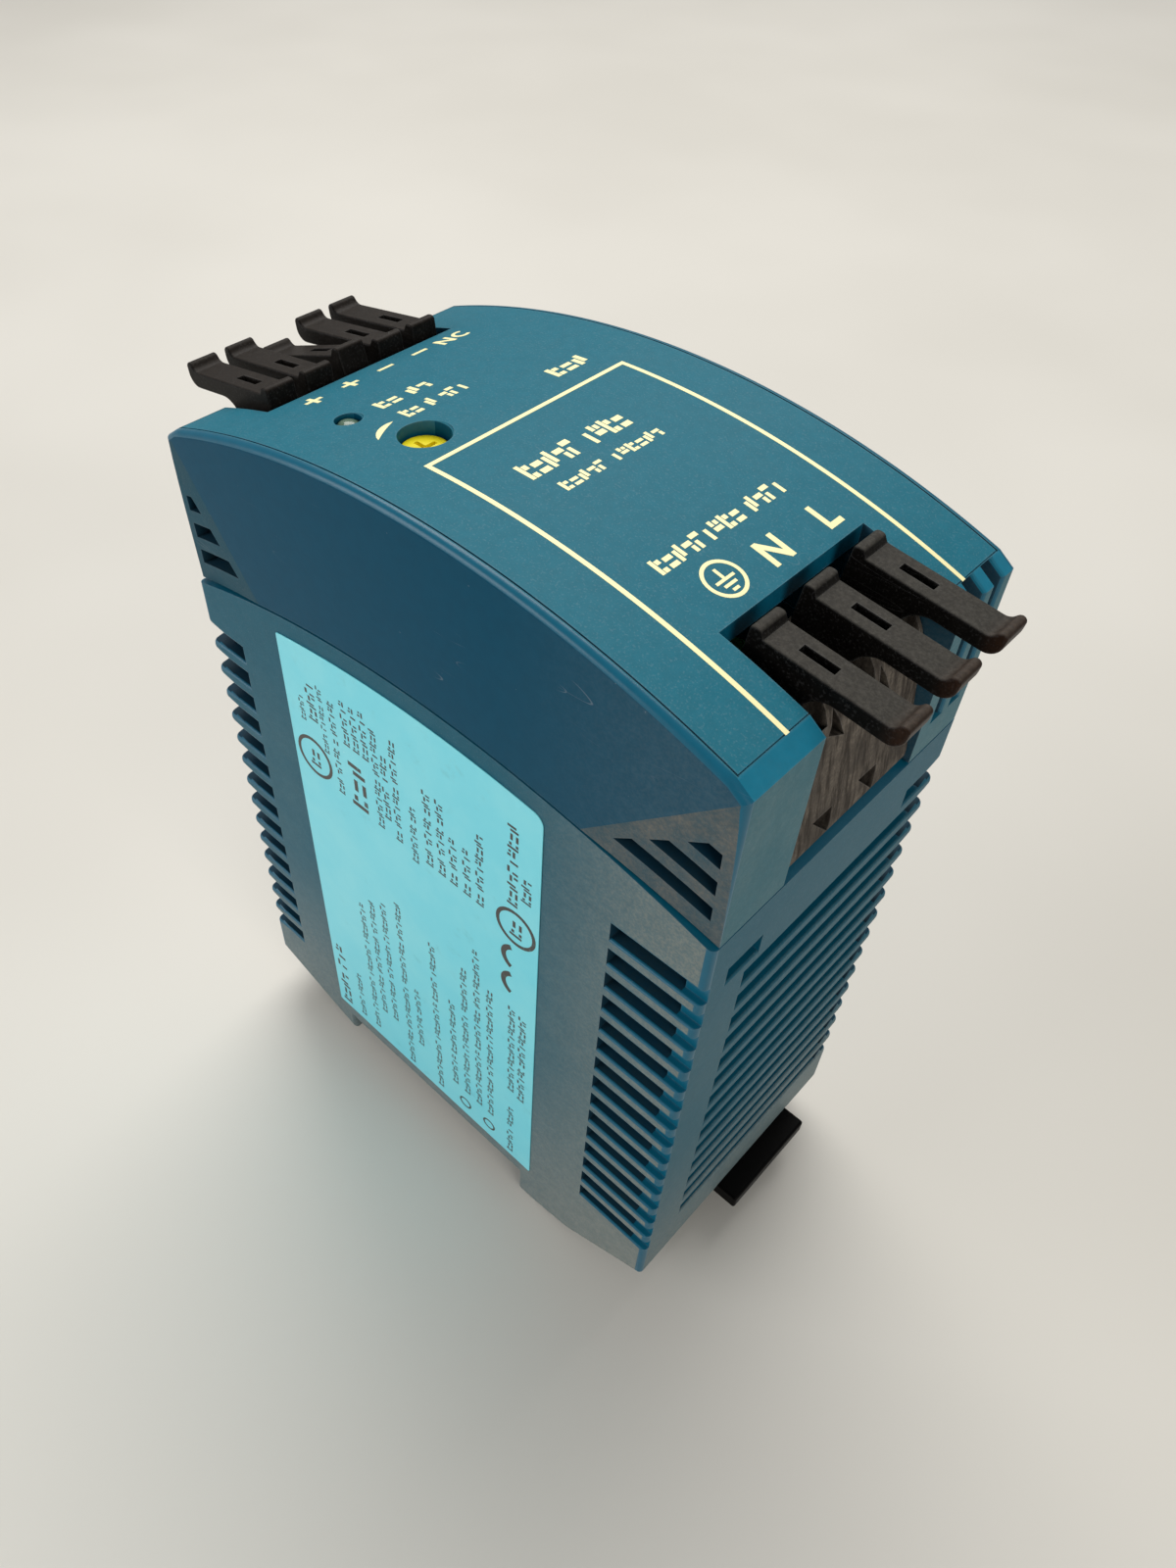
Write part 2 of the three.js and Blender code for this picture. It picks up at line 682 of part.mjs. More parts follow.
function addIndicatorParts() {
  const deck = INDICATOR_BOARD_Z + BOARD + GAP;
  const led = union(rod(1.9, LED_X, LED_Y, deck, deck + 1), rod(1.5, LED_X, LED_Y, deck, deck + 4));
  addPart("status_led", led, "lens");
  const guide = union(
    rod(1.1, LED_X, LED_Y, deck + 4 + GAP, 100.5),
    rod(2, LED_X, LED_Y, deck + 5.5, deck + 6.7),
  );
  addPart("light_guide", guide, "lens");
  const half = 4.6;
  const trimmerBody = box(
    TRIMMER_X - half, TRIMMER_X + half, TRIMMER_Y - half, TRIMMER_Y + half, deck, deck + 5.4,
  );
  addPart("trimmer_base", trimmerBody, "blueCoating");
  const bottom = deck + 5.4 + GAP;
  const crossSlot = union(
    box(-0.35, 0.35, -1.7, 1.7, TRIMMER_TOP_Z - bottom - 1, 20),
    box(-1.7, 1.7, -0.35, 0.35, TRIMMER_TOP_Z - bottom - 1, 20),
  );
  const stem = union(rod(2.45, 0, 0, 0.8, TRIMMER_TOP_Z - bottom, 32), rod(3.4, 0, 0, 0, 1.2, 32));
  const rotor = addPart("trimmer_rotor", stem.subtract(crossSlot), "yellowPlastic");
  rotor.position.set(TRIMMER_X, TRIMMER_Y, bottom);
}

// ---------------------------------------------------------------- parts on the main board

// Each function works in the board's frame: X is the case's X, Y is the case's Z and
// Z is the height above the board.

function axialFuse() {
  const tube = new THREE.CylinderGeometry(2.4, 2.4, 19, 20);
  const caps = [-7.6, 7.6].map((y) => {
    const cap = new THREE.CylinderGeometry(2.8, 2.8, 5, 20);
    cap.translate(0, y, 3);
    return solid(cap);
  });
  tube.translate(0, 0, 3);
  const legs = [-7.6, 7.6].map((y) => box(-0.5, 0.5, y - 1, y + 1, 0, 2));
  return union(solid(tube), ...caps, ...legs);
}

function discPart(radius, thickness) {
  const disc = new THREE.CylinderGeometry(radius, radius, thickness, 28);
  disc.rotateZ(Math.PI / 2);
  disc.translate(0, 0, radius + 2.5);
  const legs = [-3.5, 3.5].map((y) => box(-0.35, 0.35, y - 0.35, y + 0.35, 0, radius));
  return union(solid(disc), ...legs);
}

function boxPart(sizeX, sizeY, height) {
  return box(-sizeX / 2, sizeX / 2, -sizeY / 2, sizeY / 2, 0, height);
}

function can(radius, height) {
  const profile = [
    [0, 0],
    [radius, 0],
    [radius, 1.6],
    [radius - 0.5, 2.1],
    [radius - 0.5, 2.7],
    [radius, 3.2],
    [radius, height - 0.5],
    [radius - 0.5, height],
    [0, height],
  ].map(([r, z]) => new THREE.Vector2(r, z));
  const geometry = new THREE.LatheGeometry(profile, 28);
  geometry.rotateX(Math.PI / 2);
  return solid(geometry);
}

function ringPart(inner, outer, height) {
  return rod(outer, 0, 0, 0, height, 32).subtract(rod(inner, 0, 0, -1, height + 1, 32));
}

function chokeWinding(side) {
  const sleeve = ringPart(2.8, 8.2, 8.4);
  const room = ringPart(3.8, 7.3, 6.6);
  const moved = geometryOf(room);
  moved.translate(0, 0, 0.9);
  const half = side > 0 ? box(1.2, 9, -9, 9, -1, 10) : box(-9, -1.2, -9, 9, -1, 10);
  return sleeve.subtract(solid(moved)).intersect(half);
}

function powerPackage() {
  const body = box(-2.2, 2.2, -5, 5, 4, 13);
  const tab = box(0.9, 2.2, -5, 5, 13, 19).subtract(tabHole());
  const legs = [-2.54, 0, 2.54].map((y) => box(-0.3, 0.3, y - 0.4, y + 0.4, 0, 5));
  return union(body, tab, ...legs);
}

function tabHole() {
  const hole = new THREE.CylinderGeometry(1.8, 1.8, 6, 20);
  hole.rotateZ(Math.PI / 2);
  hole.translate(0, 0, 16.3);
  return solid(hole);
}

function heatSink() {
  const plate = box(0, 1.6, -16, 16, 0, 24);
  const fins = [-12, -6, 0, 6, 12].map((y) => box(-5, 0.5, y - 0.6, y + 0.6, 0, 24));
  return union(plate, ...fins);
}

function bridge() {
  const legs = [-4.5, -1.5, 1.5, 4.5].map((y) => box(-0.3, 0.3, y - 0.4, y + 0.4, 0, 5));
  return union(box(-1.9, 1.9, -6.5, 6.5, 4, 13), ...legs);
}

function transformerCore() {
  const windows = [-1, 1].map((side) => {
    const low = Math.min(side * 3.5, side * 10);
    return box(low, low + 6.5, -8.5, 8.5, -1, 30);
  });
  return cut(box(-13.5, 13.5, -12, 12, 5, 15), ...windows);
}

function transformerBobbin() {
  const tube = box(-4.7, 4.7, -8.2, 8.2, 3.8, 16.2);
  const flanges = [-8.2, 7].map((y) => box(-9.6, 9.6, y, y + 1.2, 1.5, 18.5));
  const pins = [-7.6, 7.6].map((y) => box(-7, 7, y - 0.5, y + 0.5, 0, 2));
  return union(tube, ...flanges, ...pins).subtract(box(-3.8, 3.8, -9, 9, 4.7, 15.3));
}

function transformerWinding() {
  return box(-8.8, 8.8, -6.7, 6.7, 2, 18).subtract(box(-5, 5, -7, 7, 3.5, 16.5));
}

function addMainBoardParts() {
  const group = new THREE.Group();
  group.position.y = MAIN_BOARD_Y - GAP;
  group.rotation.x = Math.PI / 2;
  supply.add(group);
  const pieces = [
    ["fuse", axialFuse(), "glassTube", 32.5, 58],
    ["varistor", discPart(5, 4), "blueCoating", 25, 62],
    ["x_capacitor", boxPart(12, 8, 14), "yellowBox", 23, 47],
    ["choke_core", ringPart(4.1, 7, 6), "ferrite", 27, 33, 1.2],
    ["choke_winding_1", chokeWinding(-1), "copper", 27, 33],
    ["choke_winding_2", chokeWinding(1), "copper", 27, 33],
    ["bridge_rectifier", bridge(), "epoxy", 33, 16],
    ["bulk_capacitor", can(8, 26), "sleeve", 10, 17],
    ["heat_sink", heatSink(), "aluminium", -7, 24],
    ["switching_transistor", powerPackage(), "epoxy", -7 + 1.6 + GAP + 2.2, 31],
    ["output_diode", powerPackage(), "epoxy", -7 + 1.6 + GAP + 2.2, 12],
    ["transformer_core", transformerCore(), "ferrite", 1, 56],
    ["transformer_bobbin", transformerBobbin(), "blackPlastic", 1, 56],
    ["transformer_winding", transformerWinding(), "copper", 1, 56],
    ["output_capacitor_1", can(5, 20), "sleeve", -22, 16],
    ["output_capacitor_2", can(5, 20), "sleeve", -22, 28],
    ["optocoupler", boxPart(6.4, 4.6, 3.6), "epoxy", -22, 45],
  ];
  for (const [name, manifold, finish, x, z, lift = 0] of pieces) {
    const part = addPart(name, manifold, finish, group);
    part.position.set(x, z, lift);
  }
}

// ---------------------------------------------------------------- assembly

addPart("body_shell", bodyShell(), "casePlastic");
addPart("front_hood", frontHood(), "casePlastic");
addPart("rating_label", ratingLabel(), "labelFilm");
addTerminalRow(INPUT);
addTerminalRow(OUTPUT);
addPart("rail_latch", railLatch(), "blackPlastic");
addPart("latch_spring", latchSpring(), "springSteel");
addBoards();
addIndicatorParts();
addMainBoardParts();

export default supply;
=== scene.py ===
"""A DIN rail power supply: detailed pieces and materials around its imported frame.

Shapes are worked out in millimetres in the row frame and stored in metres: +Z out of
the front, +X to the input end, the rating label on the -Y side.
"""

import json
import math

import bmesh
import bpy
from mathutils import Matrix, Vector


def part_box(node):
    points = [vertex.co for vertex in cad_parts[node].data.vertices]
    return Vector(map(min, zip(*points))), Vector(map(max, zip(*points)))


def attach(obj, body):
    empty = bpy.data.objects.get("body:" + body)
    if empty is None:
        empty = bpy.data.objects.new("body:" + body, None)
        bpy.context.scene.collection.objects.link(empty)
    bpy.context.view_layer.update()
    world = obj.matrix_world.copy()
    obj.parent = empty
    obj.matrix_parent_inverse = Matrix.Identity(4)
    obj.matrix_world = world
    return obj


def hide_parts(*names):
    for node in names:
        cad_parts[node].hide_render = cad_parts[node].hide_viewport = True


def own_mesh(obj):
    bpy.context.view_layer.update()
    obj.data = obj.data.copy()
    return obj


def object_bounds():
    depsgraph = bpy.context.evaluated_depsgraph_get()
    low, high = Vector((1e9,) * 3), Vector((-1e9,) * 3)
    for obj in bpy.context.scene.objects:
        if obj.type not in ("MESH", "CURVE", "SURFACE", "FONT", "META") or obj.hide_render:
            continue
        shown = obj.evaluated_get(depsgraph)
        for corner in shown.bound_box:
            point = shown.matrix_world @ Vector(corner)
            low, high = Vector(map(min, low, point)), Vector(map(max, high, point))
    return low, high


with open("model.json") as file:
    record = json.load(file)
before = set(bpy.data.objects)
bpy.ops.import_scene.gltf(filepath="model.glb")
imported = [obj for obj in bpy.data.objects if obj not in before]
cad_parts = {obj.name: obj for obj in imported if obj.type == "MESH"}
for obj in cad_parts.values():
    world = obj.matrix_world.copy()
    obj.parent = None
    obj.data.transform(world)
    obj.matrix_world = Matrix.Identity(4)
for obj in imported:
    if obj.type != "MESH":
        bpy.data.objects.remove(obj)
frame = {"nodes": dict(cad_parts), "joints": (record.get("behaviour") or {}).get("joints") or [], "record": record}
cad_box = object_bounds()

# ---- dimensions

MM = 0.001
GAP = 0.3
WALL = 2.0


def node_box(name):
    """Lowest and highest corner of a CAD node, in millimetres."""
    low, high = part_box(name)
    return low / MM, high / MM


def node_axis(name):
    """X and Y of the middle of a CAD node."""
    low, high = node_box(name)
    return (low.x + high.x) / 2, (low.y + high.y) / 2


BODY_LOW, BODY_HIGH = node_box("body_shell")
HOOD_LOW, HOOD_HIGH = node_box("front_hood")
MIN_X, MAX_X = BODY_LOW.x, BODY_HIGH.x
MID_X = (MIN_X + MAX_X) / 2
HALF_WIDTH = BODY_HIGH.y
FOOT_Z = BODY_LOW.z
SEAM_Z = BODY_HIGH.z
SEAM_RADIUS = 130.0
PRINT_LIFT = 0.03
LABEL_PRINT_LIFT = 0.02
CROWN_Z = HOOD_HIGH.z - PRINT_LIFT
CROWN_RADIUS = 105.3
BEVEL_X, BEVEL_Z = 1.8, 0.6
REAR_CORNER_Z = 2.6
FLOOR_Z = 5.0
RAIL_HALF = 17.9
CORNER = 0.8

SLOT_TOP_Z, SLOT_HEIGHT, SLOT_PITCH, SLOT_COUNT = 69.7, 2.4, 4.08, 15
SIDE_SLOT_LENGTH, END_SLOT_MARGIN, SLOT_WRAP, EDGE_NOTCH = 11.0, 6.9, 7.0, 0.9
SLOT_DEPTH, RIM, NOSE = 3.0, 0.3, 0.72
FLARE_START, FLARE_FULL = 3.2, 1.4

FACET_TOP_Z, FACET_DEPTH = 94.5, 0.9
FACET_FEET = ((MAX_X - 15.8, MAX_X - 0.6, MAX_X), (MIN_X + 12.5, MIN_X + 1.2, MIN_X))

LEVER_PLATE, LEVER_TOP, LEVER_INNER, LEVER_OUTER = 1.8, 2.6, 4.4, 10.59
HALF_PRESSED_LEVER, HALF_PRESSED = "output_lever_3", 10

# What differs between the two terminal rows. end is the case's end, out the way it faces.
INPUT = {
    "name": "input", "end": MAX_X, "out": 1, "poles": 3, "tilt": 7.5, "pivot_in": 5.3,
    "pitch": 7.5,
    "recess": (-10.4, 10.9), "depth": 11.1, "mouth": 4.4,
}
OUTPUT = {
    "name": "output", "end": MIN_X, "out": -1, "poles": 5, "tilt": 9.5, "pivot_in": 4.7,
    "pitch": 5.0,
    "recess": (-13.9, 12.0), "depth": 9.7, "mouth": 3.4,
}
DECK_Z, BLOCK_BASE_Z, WELL_FLOOR_Z = 94.6, 74.0, 78.2

joints = {joint["child"]: joint for joint in frame["joints"]}

# ---- mesh helpers


def side_place(a, b, t):
    """An outline in the XZ plane, drawn out along Y."""
    return (a, t, b)


def plan_place(a, b, t):
    """An outline in the XY plane, drawn out along Z."""
    return (a, b, t)


def arc_z(crown, radius, x):
    return crown - radius + math.sqrt(radius**2 - (x - MID_X) ** 2)


def arc_points(crown, radius, from_x, to_x, steps):
    xs = [from_x + (to_x - from_x) * i / steps for i in range(steps + 1)]
    return [(x, arc_z(crown, radius, x)) for x in xs]


def round_points(centre_a, centre_b, radius, from_angle, to_angle, steps):
    points = []
    for i in range(steps + 1):
        angle = math.radians(from_angle + (to_angle - from_angle) * i / steps)
        points.append((centre_a + radius * math.cos(angle), centre_b + radius * math.sin(angle)))
    return points


def anticlockwise(points):
    area = 0
    for (ax, ay), (bx, by) in zip(points, points[1:] + points[:1]):
        area += ax * by - bx * ay
    return points if area > 0 else points[::-1]


def inset(points, distance):
    """The outline moved inwards by a distance, with mitred corners."""
    moved = []
    count = len(points)
    for i, point in enumerate(points):
        here = Vector(point)
        before = (here - Vector(points[i - 1])).normalized()
        after = (Vector(points[(i + 1) % count]) - here).normalized()
        normal_in = Vector((-before.y, before.x))
        normal_out = Vector((-after.y, after.x))
        mitre = (normal_in + normal_out) / (1 + normal_in.dot(normal_out))
        moved.append(tuple(here + mitre * distance))
    return moved


def soften(points, radius):
    """Rounds every corner of an outline that turns by more than a few degrees."""
    steps, least_turn = 4, math.radians(12)
    smooth = []
    count = len(points)
    for i, point in enumerate(points):
        here = Vector(point)
        back = Vector(points[i - 1]) - here
        on = Vector(points[(i + 1) % count]) - here
        turn = math.pi - back.angle(on)
        if turn < least_turn:
            smooth.append(point)
            continue
        reach = min(radius * math.tan(turn / 2), back.length * 0.45, on.length * 0.45)
        start = here + back.normalized() * reach
        end = here + on.normalized() * reach
        for step in range(steps + 1):
            share = step / steps
            first = start.lerp(here, share)
            second = here.lerp(end, share)
            smooth.append(tuple(first.lerp(second, share)))
    return smooth


def new_object(name, bm):
    """An object made from a bmesh, with doubled points joined and every face turned outwards."""
    mesh = bpy.data.meshes.new(name)
    bmesh.ops.remove_doubles(bm, verts=bm.verts, dist=1e-4)
    bmesh.ops.recalc_face_normals(bm, faces=bm.faces)
    bm.to_mesh(mesh)
    bm.free()
    return linked(name, mesh)


def linked(name, mesh):
    piece = bpy.data.objects.new(name, mesh)
    bpy.context.scene.collection.objects.link(piece)
    return piece


def add_rings(bm, rings):
    """A closed solid through rings of points, with a flat face at each end."""
    loops = [[bm.verts.new(point) for point in ring] for ring in rings]
    count = len(loops[0])
    for lower, upper in zip(loops, loops[1:]):
        for i in range(count):
            j = (i + 1) % count
            bm.faces.new((lower[i], lower[j], upper[j], upper[i]))
    bm.faces.new(loops[0][::-1])
    bm.faces.new(loops[-1])


def add_prism(bm, outline, low, high, rim=0.0, place=side_place):
    """An outline drawn out from low to high, its edges at both ends rounded by rim."""
    outline = anticlockwise(list(outline))
    levels = [(0.0, 0.0)]
    if rim:
        angles = [math.pi / 2 * i / 6 for i in range(7)]
        levels = [(rim * (1 - math.sin(a)), rim * (1 - math.cos(a))) for a in angles]
    rings = [(inset(outline, back), low + up) for back, up in levels]
    rings += [(inset(outline, back), high - up) for back, up in reversed(levels)]
    add_rings(bm, [[place(a, b, t) for a, b in ring] for ring, t in rings])


def prism(name, outline, low, high, rim=0.0, place=side_place):
    bm = bmesh.new()
    add_prism(bm, outline, low, high, rim, place)
    return new_object(name, bm)


def add_box(bm, low, high):
    outline = [(low[0], low[1]), (high[0], low[1]), (high[0], high[1]), (low[0], high[1])]
    add_prism(bm, outline, low[2], high[2], place=plan_place)


def boxes(*corners):
    bm = bmesh.new()
    for low, high in corners:
        add_box(bm, low, high)
    return new_object("cutter", bm)


def lathe(name, x, y, profile, sides):
    """A solid of revolution about an upright axis, from a list of (radius, z) pairs."""
    bm = bmesh.new()
    rings = []
    for radius, z in profile:
        circle = round_points(x, y, radius, 0, 360, sides)[:-1]
        rings.append([(px, py, z) for px, py in circle])
    add_rings(bm, rings)
    return new_object(name, bm)


def apply_modifiers(piece):
    graph = bpy.context.evaluated_depsgraph_get()
    mesh = bpy.data.meshes.new_from_object(piece.evaluated_get(graph))
    piece.modifiers.clear()
    piece.data = mesh


def combine(piece, other, operation="DIFFERENCE"):
    """Cuts, joins or trims a piece with another object, which is then removed."""
    modifier = piece.modifiers.new("combine", "BOOLEAN")
    modifier.object = other
    modifier.operation = operation
    modifier.solver = "MANIFOLD"
    apply_modifiers(piece)
    bpy.data.objects.remove(other)
    return piece


def finish_piece(piece, material, replaces=(), body="case", sharp=32, extra=()):
    """Stores a piece in metres, shades it, gives it its materials and ties it to its body."""
    piece.data.transform(Matrix.Scale(MM, 4))
    piece.data.materials.clear()
    for each in (material, *extra):
        piece.data.materials.append(each)
    piece.data.polygons.foreach_set("use_smooth", [True] * len(piece.data.polygons))
    piece.data.set_sharp_from_angle(angle=math.radians(sharp))
    weighted = piece.modifiers.new("even shading", "WEIGHTED_NORMAL")
    weighted.keep_sharp = True
    weighted.weight = 100
    apply_modifiers(piece)
    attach(piece, body)
    if replaces:
        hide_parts(*replaces)
    return piece


def cut_both_ends(piece, cutter):
    """Cuts with a cutter and with its copy turned half a turn about the middle of the case."""
    mesh = cutter.data.copy()
    mesh.transform(Matrix.Translation((2 * MID_X, 0, 0)) @ Matrix.Rotation(math.pi, 4, "Z"))
    combine(piece, linked("turned", mesh))
    combine(piece, cutter)


# ---- materials


class Nodes:
    """Short calls for building one material's node tree."""

    def __init__(self, name):
        self.material = bpy.data.materials.new(name)
        self.material.use_nodes = True
        self.tree = self.material.node_tree
        self.shader = self.tree.nodes["Principled BSDF"]
        coordinates = self.node("TexCoord")
        self.place = coordinates.outputs["Object"]
        self.place = self.stretched((1 / MM, 1 / MM, 1 / MM))
        self.normal = coordinates.outputs["Normal"]

    def put(self, socket, value):
        """Sets an input to a value, or links it to the output that feeds it."""
        if isinstance(value, bpy.types.NodeSocket):
            self.tree.links.new(value, socket)
        else:
            socket.default_value = value

    def node(self, kind, **values):
        """A new node; From_Min=3 fills in its input From Min."""
        node = self.tree.nodes.new("ShaderNode" + kind)
        for name, value in values.items():
            self.put(node.inputs[name.replace("_", " ")], value)
        return node

    def surface(self, **values):
        """Fills in the shader's inputs and hands over the material."""
        for name, value in values.items():
            self.put(self.shader.inputs[name.replace("_", " ")], value)
        return self.material

    def stretched(self, scale, turn=(0, 0, 0)):
        return self.node("Mapping", Scale=scale, Rotation=turn, Vector=self.place).outputs[0]

    def noise(self, scale, detail=3.0, rough=0.55, place=None):
        place = place or self.place
        node = self.node("TexNoise", Scale=scale, Detail=detail, Roughness=rough, Vector=place)
        return node.outputs["Fac"]

    def cells(self, scale):
        """Distance to the nearest of many scattered points."""
        return self.node("TexVoronoi", Scale=scale, Vector=self.place).outputs["Distance"]

    def ramp(self, value, low, high, to_low=0.0, to_high=1.0):
        node = self.node(
            "MapRange", Value=value, From_Min=low, From_Max=high, To_Min=to_low, To_Max=to_high
        )
        node.interpolation_type = "SMOOTHSTEP"
        return node.outputs["Result"]

    def maths(self, operation, first, second):
        node = self.node("Math")
        node.operation = operation
        self.put(node.inputs[0], first)
        self.put(node.inputs[1], second)
        return node.outputs["Value"]

    def mix(self, share, first, second):
        node = self.node("Mix", Factor=share)
        node.data_type = "RGBA"
        sockets = [s for s in node.inputs if s.type == "RGBA"]
        for socket, value in zip(sockets, (first, second)):
            self.put(socket, (*value, 1.0) if isinstance(value, tuple) else value)
        return next(s for s in node.outputs if s.type == "RGBA")

    def along(self, source, axis):
        return self.node("SeparateXYZ", Vector=source).outputs[axis]

    def edges(self, radius):
        """1 on convex and concave edges, 0 on flat ground."""
        bevel = self.node("Bevel", Radius=radius * MM)
        bevel.samples = 4
        geometry = self.node("NewGeometry")
        dot = self.node("VectorMath")
        dot.operation = "DOT_PRODUCT"
        self.put(dot.inputs[0], bevel.outputs["Normal"])
        self.put(dot.inputs[1], geometry.outputs["Normal"])
        return self.ramp(dot.outputs["Value"], 0.985, 0.86)

    def bump(self, height, depth, before=None):
        node = self.node("Bump", Strength=1.0, Distance=depth * MM, Height=height)
        if before:
            self.put(node.inputs["Normal"], before)
        return node.outputs["Normal"]

    def scratches(self, length, turn):
        """Sparse, long hair lines at one slant, from the contours of stretched noise."""
        width, keep = 0.0035, 0.60
        drawn = self.stretched((1 / length, 0.45, 0.45), turn)
        contour = self.maths("SUBTRACT", self.noise(1.0, 0.0, 0.5, drawn), 0.5)
        offset = self.maths("ABSOLUTE", contour, 0)
        thin = self.ramp(offset, width, 0.0)
        patches = self.ramp(self.noise(0.09, 3.0), keep, keep + 0.06)
        return self.maths("MULTIPLY", thin, patches)


def dust_film(n, blotches, mottled, dusty, upward, clean_x, clean_z):
    """How much dust lies at a spot: in blotches, more on upward faces, less where it is clean."""
    film = n.ramp(blotches, 0.30, 0.72, dusty * 0.55, min(1.0, dusty * 1.35))
    film = n.maths("MULTIPLY", film, mottled)
    if upward:
        up = n.ramp(n.along(n.normal, "Z"), 0.3, 0.95, 0.0, upward)
        film = n.maths("MAXIMUM", film, n.maths("MULTIPLY", up, mottled))
    for axis, limits in (("X", clean_x), ("Z", clean_z)):
        if limits:
            film = n.maths("MULTIPLY", film, n.ramp(n.along(n.place, axis), *limits))
    return film


def dusty_end(n, colour, mottled, amount):
    """More dust on the label side towards the input end."""
    near = n.ramp(n.along(n.place, "X"), 12, 40, 0.0, amount)
    side = n.ramp(n.along(n.normal, "Y"), -0.5, -0.9)
    near = n.maths("MULTIPLY", near, side)
    return n.mix(n.maths("MULTIPLY", near, mottled), colour, (0.19, 0.21, 0.19))


def wear_marks(n, colour, pale, blotches, scratch, wear):
    """Scratches, grit and pale worn edges over a colour."""
    lines = n.maths("MAXIMUM", n.scratches(30, (0.2, 0.9, 0.4)), n.scratches(22, (0.5, -0.6, 1.3)))
    grit = n.ramp(n.cells(0.55), 0.055, 0.02)
    grit = n.maths("MULTIPLY", grit, n.ramp(blotches, 0.5, 0.56))
    lines = n.maths("MAXIMUM", lines, grit)
    colour = n.mix(n.maths("MULTIPLY", lines, scratch), colour, pale)
    worn = n.maths("MULTIPLY", n.edges(0.32), n.ramp(n.noise(0.8, 4.0), 0.34, 0.62, 0.35, 1.0))
    return n.mix(n.maths("MULTIPLY", worn, wear), colour, pale)


def moulded(
    name, base, dust, dusty=0.35, rough=(0.42, 0.7), grain=0.012, grain_scale=3.5, wear=0.35,
    scratch=0.5, upward=0.0, spread=0.16, shine=0.12, specks=0.0, floor_bounce_tint=None, tips=None,
    end_dust=0.0, streaks=0.0, clean_x=None, clean_z=None,
):
    """Moulded plastic with a film of dust, speckles, scratches and pale worn edges."""
    n = Nodes(name)
    blotches = n.noise(spread, 5.0, 0.62)
    mottled = n.ramp(n.noise(2.6, 4.0, 0.7), 0.38, 0.66, 0.72, 1.18)
    film = dust_film(n, blotches, mottled, dusty, upward, clean_x, clean_z)
    colour = n.mix(film, base, dust)
    if end_dust:
        colour = dusty_end(n, colour, mottled, end_dust)
    if streaks:
        runs = n.noise(0.8, 4.0, 0.7, n.stretched((1, 1.6, 0.2)))
        colour = n.mix(n.ramp(runs, 0.42, 0.62, 0.0, streaks), colour, base)
    # A pale floor-coloured tint towards the bottom: painted light thrown up from the floor.
    if floor_bounce_tint:
        low = n.ramp(n.along(n.place, "Z"), *FLOOR_BOUNCE_Z, 0.0, 0.62)
        colour = n.mix(n.maths("MULTIPLY", low, mottled), colour, floor_bounce_tint)
    tone = n.ramp(n.noise(0.9, 3.0), 0.3, 0.7, 0.0, 0.16)
    colour = n.mix(tone, colour, tuple(c * 0.55 for c in base))
    pale = tuple(0.75 * c + 0.15 for c in base)
    if specks:
        dots = n.ramp(n.noise(4.5, 1.0), 0.56, 0.72, 0.0, specks)
        colour = n.mix(dots, colour, pale)
    if tips:
        end = n.ramp(n.along(n.place, "X"), *tips)
        colour = n.mix(n.maths("MULTIPLY", end, mottled), colour, (0.07, 0.028, 0.012))
    colour = wear_marks(n, colour, pale, blotches, scratch, wear)
    dull = n.ramp(film, 0.0, 0.9, *rough)
    fine = n.bump(n.noise(grain_scale, 2.0), grain)
    relief = n.bump(n.noise(0.25, 2.0), 0.02, fine)
    return n.surface(Base_Color=colour, Roughness=dull, Normal=relief, Specular_IOR_Level=shine)


def metal(name, colour, rough=(0.25, 0.45), streak=(0.4, 6.0, 6.0)):
    """Metal with drawn streaks and light tarnish."""
    tarnish = (0.25, 0.22, 0.18)
    n = Nodes(name)
    streaks = n.noise(1.2, 3.0, 0.6, n.stretched(streak))
    dull = n.ramp(n.noise(0.25, 4.0), 0.45, 0.75, 0.0, 0.5)
    return n.surface(
        Base_Color=n.mix(dull, colour, tarnish), Roughness=n.ramp(streaks, 0.3, 0.7, *rough),
        Normal=n.bump(streaks, 0.01), Metallic=1.0,
    )


def lens(name, tint):
    """Milky clear plastic."""
    n = Nodes(name)
    cloud = n.ramp(n.noise(0.8, 3.0), 0.3, 0.7, 0.0, 0.5)
    colour = n.mix(cloud, tint, tuple(c * 0.6 for c in tint))
    dull = n.ramp(cloud, 0.0, 0.5, 0.12, 0.32)
    return n.surface(Base_Color=colour, Roughness=dull, Transmission_Weight=0.35, IOR=1.49)


def printed_film(name, base, faded):
    """A printed film: nearly even colour, faint mottling and smudges."""
    n = Nodes(name)
    cloud = n.ramp(n.noise(0.11, 4.0, 0.6), 0.32, 0.72)
    colour = n.mix(cloud, base, faded)
    smudge = n.ramp(n.noise(0.32, 5.0, 0.65), 0.58, 0.80, 0.0, 0.22)
    colour = n.mix(smudge, colour, (0.20, 0.36, 0.36))
    speck = n.ramp(n.cells(0.5), 0.05, 0.02, 0.0, 0.5)
    colour = n.mix(n.maths("MULTIPLY", speck, cloud), colour, (0.75, 0.9, 0.9))
    dull = n.ramp(smudge, 0.0, 0.22, 0.34, 0.55)
    return n.surface(Base_Color=colour, Roughness=dull, Normal=n.bump(n.noise(1.6, 3.0), 0.006))


def ink(name, colour, worn, gaps):
    """Printed ink, a little worn through."""
    n = Nodes(name)
    patches = n.ramp(n.noise(1.7, 5.0, 0.7), gaps, gaps + 0.1, 0.0, 0.8)
    mixed = n.mix(patches, colour, worn)
    return n.surface(Base_Color=mixed, Roughness=n.ramp(patches, 0.0, 0.8, 0.5, 0.65))


# Heights over which the painted floor bounce fades out.
FLOOR_BOUNCE_Z = (40, -5)
GREY_DUST = (0.085, 0.150, 0.165)
# Grey-brown of the film painted on the side facets as their lighter sheen.
FACET_SHEEN_TINT = (0.135, 0.130, 0.115)

